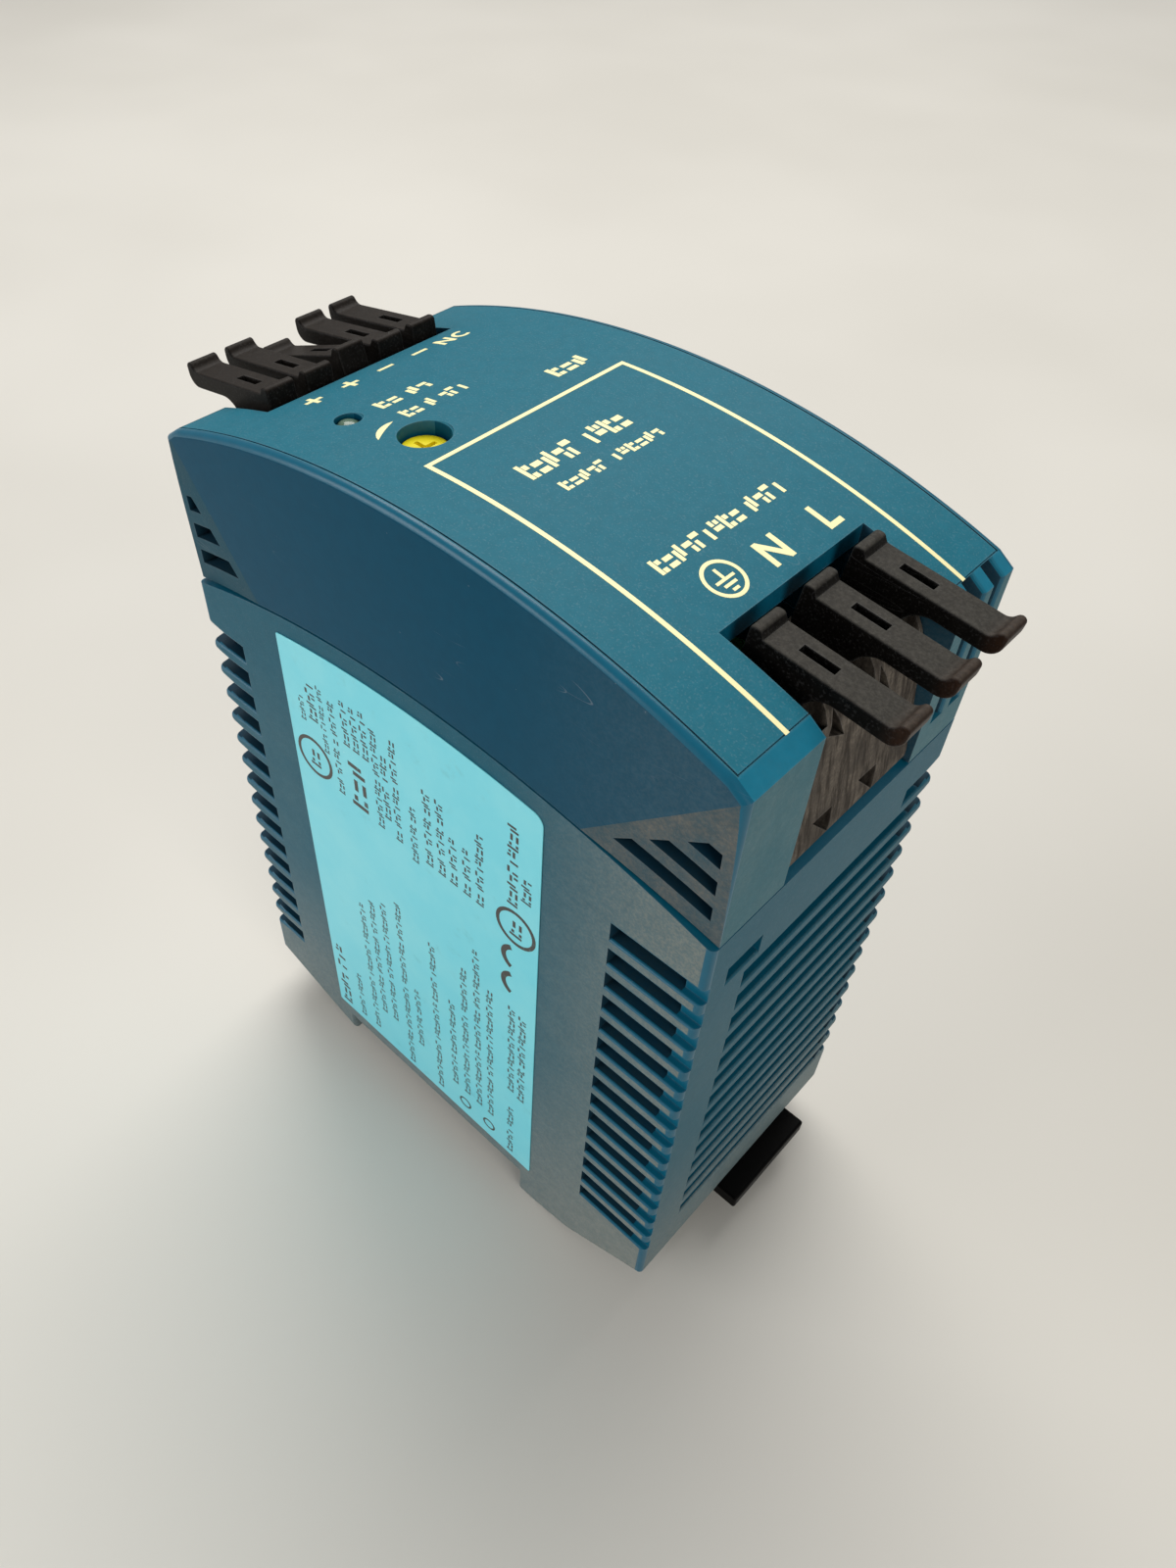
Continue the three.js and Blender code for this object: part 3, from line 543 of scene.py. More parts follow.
case_top = moulded(
    "case_top", (0.006, 0.135, 0.195), GREY_DUST, dusty=0.10, rough=(0.55, 0.68),
    grain=0.022, grain_scale=4.0, wear=0.3, scratch=0.3, specks=0.20,
)
# A darker copy of the hood's teal for its flat sides: painted shade and dark reflections; the dust towards the
# input end is real.
case_side_shade = moulded(
    "case_side_shade", (0.0001, 0.056, 0.104), GREY_DUST, dusty=0.01, rough=(0.3, 0.5),
    grain=0.004, grain_scale=2.0, wear=0.2, scratch=0.6, end_dust=0.18, shine=0.05,
)
# A mid-dark copy of the case teal for rounded rims, the ledge over the seam, the corner nicks and the end slots:
# painted half shade, lighter than the slot shade.
case_half_shade = moulded(
    "case_half_shade", (0.0005, 0.095, 0.160), GREY_DUST, dusty=0.03, rough=(0.3, 0.5),
    grain=0.004, grain_scale=2.0, wear=0.25, scratch=0.3, shine=0.3,
)
# A lighter copy of the hood's teal for the bevels at the ends: a painted highlight on the bands that face the
# light.
case_bevel_light = moulded(
    "case_bevel_light", (0.006, 0.160, 0.250), GREY_DUST, dusty=0.10, rough=(0.45, 0.6),
    grain=0.006, grain_scale=2.0, wear=0.3, scratch=0.3,
)
# The slanted flats beside the end slots: rougher, with a grey-brown film painted on as the lighter sheen they
# catch.
case_facet_sheen = moulded(
    "case_facet_sheen", (0.004, 0.060, 0.092), FACET_SHEEN_TINT, dusty=0.66, rough=(0.6, 0.8),
    grain=0.02, grain_scale=4.0, wear=0.25, scratch=0.3, specks=0.12, clean_x=(-30, 25, 0.15, 1.0),
)
case_plain = moulded(
    "case_plain", (0.012, 0.110, 0.150), (0.13, 0.21, 0.225), dusty=0.48, rough=(0.5, 0.7),
    grain=0.014, grain_scale=4.0, wear=0.3, scratch=0.4, specks=0.18,
)
# The body shell: its pale tint low down is painted floor bounce; the dust towards the input end is real.
case_body = moulded(
    "case_body", (0.002, 0.086, 0.134), (0.12, 0.185, 0.195), dusty=0.24, rough=(0.45, 0.68),
    scratch=0.4, specks=0.14, floor_bounce_tint=(0.25, 0.255, 0.225), end_dust=0.85,
    clean_z=(50, 74, 1.0, 0.25),
)
# A darker copy of the case teal for the insides of slots and louvres: painted shade where little light gets in.
case_slot_shade = moulded(
    "case_slot_shade", (0.0005, 0.030, 0.062), (0.025, 0.040, 0.030), dusty=0.30, rough=(0.5, 0.7),
    grain=0.01, grain_scale=3.0, wear=0.1, scratch=0.1,
)
LEVER_FINISH = {
    "rough": (0.4, 0.62), "grain": 0.008, "grain_scale": 3.0, "wear": 0.22, "scratch": 0.25,
    "spread": 0.5, "shine": 0.07,
}
lever_plastic = moulded(
    "lever_plastic", (0.0012, 0.0008, 0.0006), (0.060, 0.056, 0.048), dusty=0.04,
    upward=0.80, specks=0.08, tips=(43.0, 45.2, 0.0, 0.22), **LEVER_FINISH,
)
dark_lever_plastic = moulded(
    "dark_lever_plastic", (0.0022, 0.0016, 0.0012), (0.050, 0.040, 0.032), dusty=0.10,
    upward=0.42, specks=0.09, **LEVER_FINISH,
)
block_plastic = moulded(
    "block_plastic", (0.014, 0.010, 0.008), (0.150, 0.128, 0.104), dusty=0.75, rough=(0.5, 0.8),
    grain=0.03, grain_scale=3.0, wear=0.3, spread=0.30, streaks=0.70,
)
latch_plastic = moulded(
    "latch_plastic", (0.0006, 0.0006, 0.0007), (0.02, 0.018, 0.015), dusty=0.03,
    rough=(0.4, 0.55), grain=0.006, grain_scale=3.0, wear=0.12, scratch=0.12, shine=0.05,
)
rotor_plastic = moulded(
    "rotor_plastic", (0.95, 0.80, 0.01), (0.55, 0.45, 0.12), dusty=0.08, rough=(0.35, 0.5),
    grain=0.01, grain_scale=3.0, wear=0.1, scratch=0.1,
)
label_film = printed_film("label_film", (0.155, 0.64, 0.74), (0.20, 0.67, 0.75))
label_ink = ink("label_ink", (0.045, 0.04, 0.036), (0.12, 0.35, 0.40), 0.62)
front_ink = ink("front_ink", (0.92, 0.85, 0.45), (0.35, 0.42, 0.34), 0.68)
lens_plastic = lens("lens_plastic", (0.14, 0.24, 0.16))
latch_spring_steel = metal("latch_spring_steel", (0.55, 0.56, 0.58))

SLOT_MATERIALS = {
    "spring_steel": latch_spring_steel,
    "tinned_copper": metal("tinned_copper", (0.62, 0.58, 0.50)),
    "aluminium": metal("aluminium_sheet", (0.62, 0.64, 0.66), rough=(0.3, 0.5)),
    "copper_wire": metal("copper_wire", (0.62, 0.24, 0.09), rough=(0.2, 0.35), streak=(8.0, 8.0, 0.6)),
    "lens_plastic": lens_plastic,
    "glass_tube": lens("glass_tube", (0.80, 0.84, 0.82)),
}
# Parts seen only through the vents: material slot, name, colour, dust colour, dust and roughness.
INNER_PLASTICS = [
    ("board", "board_resist", (0.02, 0.13, 0.04), (0.10, 0.14, 0.08), 0.2, (0.3, 0.5)),
    ("insulation_film", "insulation_film", (0.7, 0.66, 0.5), (0.5, 0.48, 0.4), 0.2, (0.3, 0.5)),
    ("black_plastic", "black_plastic", (0.012, 0.012, 0.013), (0.07, 0.07, 0.065), 0.15, (0.42, 0.7)),
    ("epoxy", "epoxy", (0.012, 0.012, 0.013), (0.06, 0.06, 0.06), 0.15, (0.5, 0.7)),
    ("ferrite", "ferrite", (0.035, 0.035, 0.04), (0.09, 0.09, 0.09), 0.2, (0.6, 0.8)),
    ("sleeve", "sleeve_film", (0.015, 0.02, 0.04), (0.08, 0.08, 0.09), 0.12, (0.25, 0.4)),
    ("blue_coating", "blue_coating", (0.02, 0.08, 0.33), (0.1, 0.14, 0.25), 0.15, (0.3, 0.5)),
    ("yellow_box", "yellow_box", (0.7, 0.46, 0.05), (0.45, 0.36, 0.15), 0.15, (0.35, 0.5)),
]
for slot, *finish in INNER_PLASTICS:
    grain = 0.03 if slot == "ferrite" else 0.012
    SLOT_MATERIALS[slot] = moulded(*finish, grain=grain)

# ---- body shell


def case_outline():
    return [
        (MIN_X, REAR_CORNER_Z), (-RAIL_HALF, -3.5), (-RAIL_HALF, 0), (RAIL_HALF, 0),
        (RAIL_HALF, FOOT_Z), (RAIL_HALF + 3, FOOT_Z), (RAIL_HALF + 9.5, FOOT_Z + 1.1),
        (MAX_X, REAR_CORNER_Z), (MAX_X, SEAM_Z + 5), (MIN_X, SEAM_Z + 5),
    ]


def above_seam():
    """Everything over the body's curved upper edge."""
    seam = arc_points(SEAM_Z, SEAM_RADIUS, MIN_X - 1, MAX_X + 1, 72)
    top = SEAM_Z + 20
    outline = [*seam, (MAX_X + 1, top), (MIN_X - 1, top)]
    return prism("cutter", outline, -HALF_WIDTH - 1, HALF_WIDTH + 1)


def slot_levels():
    tops = [SLOT_TOP_Z - row * SLOT_PITCH for row in range(SLOT_COUNT)]
    return [(top - SLOT_HEIGHT, top) for top in tops]


def slot_profile(low, high, depth, rim):
    """A slot's section as (depth, z) pairs, its mouth flared by rounded rims."""
    angles = [math.pi / 2 * i / 4 for i in range(5)]
    lower = [(rim - rim * math.cos(a), low - rim + rim * math.sin(a)) for a in angles]
    upper = [(d, low + high - z) for d, z in reversed(lower)]
    return [(-1, low - rim), *lower, (depth, low), (depth, high), *upper, (-1, high + rim)]


def sweep_slot(bm, stations, low, high, depth):
    """A slot cutter through stations: each gives the point at a depth, and its rim."""
    rings = []
    for point_at, rim in stations:
        rings.append([(*point_at(d), z) for d, z in slot_profile(low, high, depth, rim)])
    add_rings(bm, rings)


def end_face(y):
    return lambda depth: (MAX_X - depth, y)


def far_side(x):
    return lambda depth: (x, HALF_WIDTH - depth)


def near_side(x):
    return lambda depth: (x, -HALF_WIDTH + depth)


def round_corner(angle):
    """A point on the corner between the end face and the far side, at an angle in plan."""

    def point(depth):
        reach = CORNER - depth
        if reach <= 0:
            return (MAX_X - depth, HALF_WIDTH - depth)
        return (
            MAX_X - CORNER + reach * math.cos(angle),
            HALF_WIDTH - CORNER + reach * math.sin(angle),
        )

    return point


def wrapped_stations(from_y):
    """Stations from a spot on the end face, round the far corner, to a spot on the far side."""
    flare = NOSE * 0.8
    corner = [(round_corner(math.pi / 2 * i / 6), NOSE) for i in range(7)]
    return [
        (end_face(from_y), RIM),
        (end_face(HALF_WIDTH - FLARE_START), RIM),
        (end_face(HALF_WIDTH - FLARE_FULL), flare),
        *corner,
        (far_side(MAX_X - FLARE_FULL), flare),
        (far_side(MAX_X - FLARE_START), RIM),
        (far_side(MAX_X - SLOT_WRAP), RIM),
    ]


def corner_louvres():
    """Slots at the +X end: short ones on the near side, long ones wrapped round the far corner."""
    inner_x = MAX_X - WALL - 0.5
    first_ends, first_restart = (-HALF_WIDTH + 3.5, -HALF_WIDTH + 8.9), 13.6
    short, nicks, long = bmesh.new(), bmesh.new(), bmesh.new()
    for row, (low, high) in enumerate(slot_levels()):
        start_x = MAX_X - SIDE_SLOT_LENGTH
        ends = [(near_side(start_x), RIM), (near_side(inner_x), RIM)]
        sweep_slot(short, ends, low, high, SLOT_DEPTH)
        ends = [(near_side(inner_x - 1), RIM), (near_side(MAX_X + 1), RIM)]
        sweep_slot(nicks, ends, low, high, EDGE_NOTCH)
        from_y = -HALF_WIDTH + END_SLOT_MARGIN
        if row == 0:
            ends = [(end_face(y), RIM) for y in first_ends]
            sweep_slot(long, ends, low, high, SLOT_DEPTH)
            from_y = first_restart
        sweep_slot(long, wrapped_stations(from_y), low, high, SLOT_DEPTH)
    return [new_object("cutter", bm) for bm in (short, nicks, long)]


def latch_channel():
    low, high = node_box("rail_latch")
    roof = 2.4 + GAP
    return boxes(
        ((RAIL_HALF - 1, low.y - GAP, -0.6), (MAX_X + 1, high.y + GAP, roof)),
        ((RAIL_HALF - 1, low.y - GAP, FOOT_Z - 1), (RAIL_HALF + 6.5, high.y + GAP, roof - 0.01)),
    )


def rail_hook():
    outline = [
        (-30, 0.6), (-25, FOOT_Z), (-RAIL_HALF + 1.2, FOOT_Z), (-RAIL_HALF + 1.2, -1.3),
        (-RAIL_HALF, -1.3), (-RAIL_HALF, 0.6),
    ]
    return prism("hook", soften(outline, 0.4), -9, 9, 0.3)


def in_slot(x, y, z):
    """True for a spot inside a louvre, under the case's outer faces."""
    deep = min(MAX_X - x, x - MIN_X, HALF_WIDTH - abs(y))
    return deep > 0.28 and SLOT_TOP_Z - SLOT_COUNT * SLOT_PITCH < z < SLOT_TOP_Z + 0.5


BODY_PLAIN, BODY_SLOT, BODY_EDGE = range(3)


def body_finish(face):
    """Which of the body's three materials a face gets."""
    x, y, z = face.center
    # Slot insides get the dark painted-shade copy; rims, the ledge over the seam, the corner nicks and the end
    # slots get the mid-dark painted half shade.
    if in_slot(x, y, z):
        near_corner = abs(x - MID_X) > (MAX_X - MIN_X) / 2 - WALL - 0.6
        in_nick = near_corner and abs(y) > HALF_WIDTH - EDGE_NOTCH - 0.05 and x * y < 0
        in_end_slot = abs(y) <= HALF_WIDTH - SLOT_DEPTH and x >= MID_X
        return BODY_EDGE if in_nick or in_end_slot else BODY_SLOT
    on_seam = face.normal.z > 0.6 and z > 70
    on_side_edge = on_rim(face) and z > REAR_CORNER_Z
    return BODY_EDGE if on_seam or on_side_edge else BODY_PLAIN


def cut_seat_grooves(body):
    """Relief grooves along both edges of the seat that lies on the rail."""
    width, low_z, high_z = 1.5, -0.5, 0.4
    for side in (-1, 1):
        low_x, high_x = sorted((side * RAIL_HALF, side * (RAIL_HALF - width)))
        groove = ((low_x, -HALF_WIDTH - 1, low_z), (high_x, HALF_WIDTH + 1, high_z))
        combine(body, boxes(groove))


def build_body():
    body = prism("body_casting", case_outline(), -HALF_WIDTH, HALF_WIDTH, CORNER)
    combine(body, rail_hook(), "UNION")
    for cutter in corner_louvres():
        cut_both_ends(body, cutter)
    inner_y = HALF_WIDTH - WALL
    hollow = ((MIN_X + WALL, -inner_y, FLOOR_Z), (MAX_X - WALL, inner_y, SEAM_Z + 9))
    combine(body, boxes(hollow))
    combine(body, above_seam())
    combine(body, latch_channel())
    cut_seat_grooves(body)
    keep = [body_finish(face) for face in body.data.polygons]
    piece = finish_piece(
        body, case_body, ["body_shell"], sharp=20,
        extra=[case_slot_shade, case_half_shade],
    )
    piece.data.polygons.foreach_set("material_index", keep)
    return piece


# ---- front hood


def hood_outline(back=0.0, below=0.0):
    crown, radius = CROWN_Z - back, CROWN_RADIUS - back
    low_x, high_x = MIN_X + back, MAX_X - back
    arc = arc_points(crown, radius, high_x - BEVEL_X, low_x + BEVEL_X, 60)
    end_z = arc_z(crown, radius, high_x) - BEVEL_Z
    base = SEAM_Z - 10 - below
    return [(low_x, base), (high_x, base), (high_x, end_z), *arc, (low_x, end_z)]


def below_seam():
    seam = arc_points(SEAM_Z + GAP, SEAM_RADIUS, MIN_X - 1, MAX_X + 1, 72)
    outline = [(MIN_X - 1, SEAM_Z - 30), *seam, (MAX_X + 1, SEAM_Z - 30)]
    return prism("cutter", outline, -HALF_WIDTH - 1, HALF_WIDTH + 1)


def side_facet(foot_x, top_x, end_x):
    """What is cut off a side to leave a slanted flat that deepens towards the end."""
    low_z = arc_z(SEAM_Z, SEAM_RADIUS, end_x) - 2
    foot_z = arc_z(SEAM_Z, SEAM_RADIUS, foot_x)
    beyond = end_x + math.copysign(1, end_x - foot_x)
    corners = [
        (foot_x, -HALF_WIDTH, foot_z),
        (top_x, -HALF_WIDTH, FACET_TOP_Z),
        (beyond, -HALF_WIDTH, FACET_TOP_Z + 1),
        (beyond, -HALF_WIDTH + FACET_DEPTH, low_z),
        (foot_x, -HALF_WIDTH, low_z),
    ]
    bm = bmesh.new()
    for x, y, z in corners:
        bm.verts.new((x, y, z))
        bm.verts.new((x, -HALF_WIDTH - 2, z))
    result = bmesh.ops.convex_hull(bm, input=bm.verts)
    unused = {e for e in result["geom_interior"] if isinstance(e, bmesh.types.BMVert)}
    bmesh.ops.delete(bm, geom=list(unused), context="VERTS")
    return new_object("cutter", bm)


def facet_slots(foot_x, top_x, end_x):
    """Three slots that follow the seam's curve and end along the facet's slanted edge."""
    first_rise, pitch, height, end_margin, slant_margin = 2.7, 3.6, 1.9, 1.3, 2.4
    inward = math.copysign(1, foot_x - end_x)
    outer_x = end_x + inward * end_margin
    slope = (top_x - foot_x) / (FACET_TOP_Z - arc_z(SEAM_Z, SEAM_RADIUS, foot_x))
    bm = bmesh.new()
    for row in range(3):
        low = first_rise + row * pitch
        high = low + height
        low_x, high_x = (foot_x - inward * slant_margin + slope * (rise - 1.2) for rise in (low, high))
        lower = arc_points(SEAM_Z + low, SEAM_RADIUS, outer_x, low_x, 6)
        upper = arc_points(SEAM_Z + high, SEAM_RADIUS, high_x, outer_x, 6)
        add_prism(bm, [*lower, *upper], -HALF_WIDTH - 1, -HALF_WIDTH + WALL + 1)
    return new_object("cutter", bm)


def recess(row):
    low_x, high_x = sorted((row["end"] + row["out"], row["end"] - row["out"] * row["depth"]))
    low_y, high_y = row["recess"]
    return boxes(((low_x, low_y, BLOCK_BASE_Z - 5), (high_x, high_y, CROWN_Z + 1)))


def recess_walls(row):
    """Thin walls on both sides of a terminal recess, from the crown down past the block."""
    foot_z, thickness, overlap, beyond = 81.0, 1.0, 1.2, 0.8
    low_x, high_x = sorted(row["end"] - row["out"] * back for back in (overlap, row["depth"] + beyond))
    crown = arc_points(CROWN_Z - overlap, CROWN_RADIUS - overlap, high_x, low_x, 12)
    outline = [(low_x, foot_z), (high_x, foot_z), *crown]
    low_y, high_y = row["recess"]
    bm = bmesh.new()
    add_prism(bm, outline, low_y - thickness, low_y)
    add_prism(bm, outline, high_y, high_y + thickness)
    return new_object("walls", bm)


def end_strip_slots():
    """Two upright slots with rounded mouths that climb the end strip and its bevel."""
    foot_z, width, depth_in, flare = 80, 1.5, 2.6, 0.5
    corner_z = arc_z(CROWN_Z, CROWN_RADIUS, MAX_X) - BEVEL_Z
    shoulder = (MAX_X - BEVEL_X, arc_z(CROWN_Z, CROWN_RADIUS, MAX_X - BEVEL_X))
    slant = Vector((BEVEL_X, corner_z - shoulder[1])).normalized()
    inward = Vector((slant.y, -slant.x))
    mitre = (inward + Vector((-1, 0))) / (1 + inward.dot(Vector((-1, 0))))
    stations = [((MAX_X, foot_z), (-1, 0)), ((MAX_X, corner_z), mitre), (shoulder, inward)]
    bm = bmesh.new()
    for low_y in (13.4, 16.8):
        rings = []
        for (x, z), (dx, dz) in stations:
            profile = slot_profile(low_y, low_y + width, depth_in, flare)
            rings.append([(x + dx * depth, y, z + dz * depth) for depth, y in profile])
        add_rings(bm, rings)
    return new_object("cutter", bm)


def edge_grooves():
    """Fine lines just inside the rounded long edges."""
    depth, half, inwards = 0.16, 0.09, 1.0
    bm = bmesh.new()
    upper = arc_points(CROWN_Z + 1, CROWN_RADIUS, MIN_X + BEVEL_X, MAX_X - BEVEL_X, 60)
    lower = arc_points(CROWN_Z - depth, CROWN_RADIUS, MAX_X - BEVEL_X, MIN_X + BEVEL_X, 60)
    for side in (-1, 1):
        middle = side * (HALF_WIDTH - inwards)
        add_prism(bm, [*upper, *lower], middle - half, middle + half)
    return new_object("cutter", bm)


def end_grooves():
    """Fine lines along the tops of the end bevels."""
    depth, half, reach = 0.12, 0.06, HALF_WIDTH - 0.95
    bm = bmesh.new()
    for x in (MIN_X + BEVEL_X + 0.1, MAX_X - BEVEL_X - 0.1):
        z = arc_z(CROWN_Z, CROWN_RADIUS, x)
        add_box(bm, (x - half, -reach, z - depth), (x + half, reach, z + 1))
    return new_object("cutter", bm)


TOP, SIDE, FACET_SHEEN, PLAIN, EDGE, BEVEL, SLOT = range(7)


def on_rim(face):
    """True for the rounded strip between a side and the faces next to it."""
    return abs(face.center.y) > HALF_WIDTH - CORNER and 0.12 < abs(face.normal.y) < 0.995


def on_facet(x, y, z):
    """True for a spot on one of the slanted flats beside the end slots."""
    margin = 2.0
    height = FACET_TOP_Z - SEAM_Z + margin
    for foot_x, top_x, end_x in FACET_FEET:
        for sign in (1, -1):
            px = x if sign > 0 else 2 * MID_X - x
            lean = (px - foot_x) * height - (top_x - foot_x) * (z - SEAM_Z + margin)
            outside = lean * math.copysign(1, end_x - foot_x) > 0
            if outside and -HALF_WIDTH + 0.01 < sign * y < -HALF_WIDTH + 1.0:
                return True
    return False


def hood_finish(face):
    """Which of the hood's materials a face gets, from where it is and where it looks."""
    x, y, z = face.center
    # The hood's teal comes in lit and shaded copies picked by where a face looks: painted shade in the slots, half
    # shade on the rims, darker sides, lighter bevels, and painted sheen on the facets.
    in_wall = HALF_WIDTH - WALL - 0.1 < abs(y) < HALF_WIDTH - FACET_DEPTH - 0.02
    between_ends = MIN_X + CORNER < x < MAX_X - CORNER
    if in_wall and between_ends and z < FACET_TOP_Z - 1 and abs(face.normal.y) < 0.5:
        return SLOT
    if on_rim(face) and abs(face.normal.y) <= 0.98:
        return EDGE
    if abs(face.normal.y) > 0.9:
        return FACET_SHEEN if on_facet(x, y, z) else SIDE
    if face.normal.z > 0.35:
        beyond = x > MAX_X - BEVEL_X or x < MIN_X + BEVEL_X
        return BEVEL if beyond else TOP
    if abs(face.normal.x) > 0.9 and (x > MAX_X - 0.1 or x < MIN_X + 0.1):
        return PLAIN
    return EDGE


def cut_front_holes(hood):
    """The slightly chamfered holes over the light guide and the trimmer."""
    chamfer = 0.14
    for name, radius in (("light_guide", 1.4), ("trimmer_rotor", 2.65)):
        x, y = node_axis(name)
        top = arc_z(CROWN_Z, CROWN_RADIUS, x)
        mouth = radius + chamfer
        profile = [(radius, CROWN_Z - 14), (radius, top - chamfer), (mouth, top), (mouth, top + 4)]
        combine(hood, lathe("cutter", x, y, profile, 56))


def build_hood():
    hood = prism("hood_moulding", hood_outline(), -HALF_WIDTH, HALF_WIDTH, CORNER)
    inside = prism("cutter", hood_outline(WALL, 5), -HALF_WIDTH + WALL, HALF_WIDTH - WALL)
    combine(hood, inside)
    combine(hood, below_seam())
    for ends in FACET_FEET:
        cut_both_ends(hood, side_facet(*ends))
        cut_both_ends(hood, facet_slots(*ends))
    for row in (INPUT, OUTPUT):
        combine(hood, recess_walls(row), "UNION")
        combine(hood, recess(row))
    for make in (end_strip_slots, edge_grooves, end_grooves):
        combine(hood, make())
    cut_front_holes(hood)
    keep = [hood_finish(face) for face in hood.data.polygons]
    piece = finish_piece(
        hood, case_top, ["front_hood"], sharp=16,
        extra=[case_side_shade, case_facet_sheen, case_plain, case_half_shade, case_bevel_light, case_slot_shade],
    )
    piece.data.polygons.foreach_set("material_index", keep)
    return piece


# ---- print


def top_surface(x, y):
    return (x, y, arc_z(CROWN_Z, CROWN_RADIUS, x))


def label_surface(x, z):
    return (x, node_box("rating_label")[0].y + LABEL_PRINT_LIFT, z)


# Stand-ins for characters, as (left, right, foot, head) strokes in a unit cell. None is a letter.
STROKES = [
    [(0.02, 0.26, 0, 1), (0.40, 0.72, 0.62, 0.84), (0.40, 0.72, 0.0, 0.22)],
    [(0.05, 0.75, 0.0, 0.22), (0.05, 0.75, 0.52, 0.74)],
    [(0.05, 0.29, 0, 0.74), (0.47, 0.71, 0.2, 1)],
    [(0.05, 0.75, 0.54, 0.76), (0.50, 0.75, 0.0, 0.36)],
    [(0.05, 0.29, 0.0, 0.5), (0.05, 0.75, 0.78, 1.0)],
    [(0.28, 0.52, 0.0, 0.74)],
    [(0.05, 0.75, 0.28, 0.50), (0.05, 0.29, 0.68, 1.0), (0.50, 0.75, 0.68, 0.9)],
]


class Print:
    """Flat printed marks laid on a surface as thin solids."""

    def __init__(self, surface, outwards, thickness=PRINT_LIFT, bold=0.0):
        self.bm = bmesh.new()
        self.surface = surface
        self.outwards = Vector(outwards)
        self.thickness = thickness
        self.bold = bold

    def patch(self, corners, steps=1):
        """A four-cornered patch, divided along its first side so that it follows a curve."""
        a, b, c, d = (Vector(corner) for corner in corners)
        shares = [step / steps for step in range(steps + 1)]
        self.strip([(a.lerp(b, share), d.lerp(c, share)) for share in shares])

    def line(self, start, end, width):
        start, end = Vector(start), Vector(end)
        along = (end - start).normalized()
        across = Vector((-along.y, along.x)) * width / 2
        steps = max(1, round((end - start).length / 1.2))
        self.patch((start - across, end - across, end + across, start + across), steps)

    def strip(self, pairs, closed=False):
        """A solid band between two rows of points, given as (inner, outer) pairs."""
        rings = []
        for inner, outer in pairs:
            ring = []
            for point, lift in ((inner, -1), (outer, -1), (outer, 1), (inner, 1)):
                ring.append(Vector(self.surface(*point)) + self.outwards * (self.thickness * lift))
            rings.append(ring)
        if not closed:
            add_rings(self.bm, rings)
            return
        loops = [[self.bm.verts.new(point) for point in ring] for ring in rings]
        for lower, upper in zip(loops, loops[1:] + loops[:1]):
            for i in range(4):
                j = (i + 1) % 4
                self.bm.faces.new((lower[i], lower[j], upper[j], upper[i]))

    def arc(self, centre, radius, width, from_angle=0, to_angle=360, pointed=False):
        """A ring or an arc; a pointed one is thick in the middle and thin at its ends."""
        closed = abs(to_angle - from_angle) == 360
        count = max(8, round(abs(to_angle - from_angle) / 10))
        pairs = []
        for i in range(count if closed else count + 1):
            share = i / count
            half = width / 2
            if pointed:
                half *= max(0.05, math.sin(math.pi * share) ** 0.7)
            angle = math.radians(from_angle + (to_angle - from_angle) * share)
            ray = Vector((math.cos(angle), math.sin(angle)))
            middle = Vector(centre) + ray * radius
            pairs.append((middle - ray * half, middle + ray * half))
        self.strip(pairs, closed)

    def words(self, start, end, height, lengths):
        """Rows of plain strokes in place of words: one small cluster for each character."""
        start, end = Vector(start), Vector(end)
        along = (end - start).normalized()
        up = Vector((-along.y, along.x)) * height
        cells = sum(lengths) + 0.7 * (len(lengths) - 1)
        size = (end - start).length / cells
        at = start
        drawn = 0
        for length in lengths:
            for _ in range(length):
                for left, right, foot, head in STROKES[drawn % len(STROKES)]:
                    low = at + along * size * (left - self.bold)
                    high = at + along * size * (right + self.bold)
                    base, tip = up * (foot - self.bold), up * (head + self.bold)
                    self.patch((low + base, high + base, high + tip, low + tip))
                drawn += 1
                at = at + along * size
            at = at + along * size * 0.7

    def letter(self, centre, strokes, size, width):
        """Straight strokes in a unit square whose right is +Y and whose top is -X."""
        for (ax, ay), (bx, by) in strokes:
            start = Vector(centre) + Vector((-(ay - 0.5), ax - 0.5)) * size
            end = Vector(centre) + Vector((-(by - 0.5), bx - 0.5)) * size
            self.line(start, end, width)


N_STROKES = [((0.08, 0), (0.08, 1)), ((0.08, 0.95), (0.82, 0.05)), ((0.82, 0), (0.82, 1))]
L_STROKES = [((0.15, 0), (0.15, 1)), ((0.05, 0.08), (0.75, 0.08))]
PLUS_STROKES = [((0.1, 0.5), (0.9, 0.5)), ((0.5, 0.1), (0.5, 0.9))]
MINUS_STROKES = [((0.1, 0.5), (0.9, 0.5))]


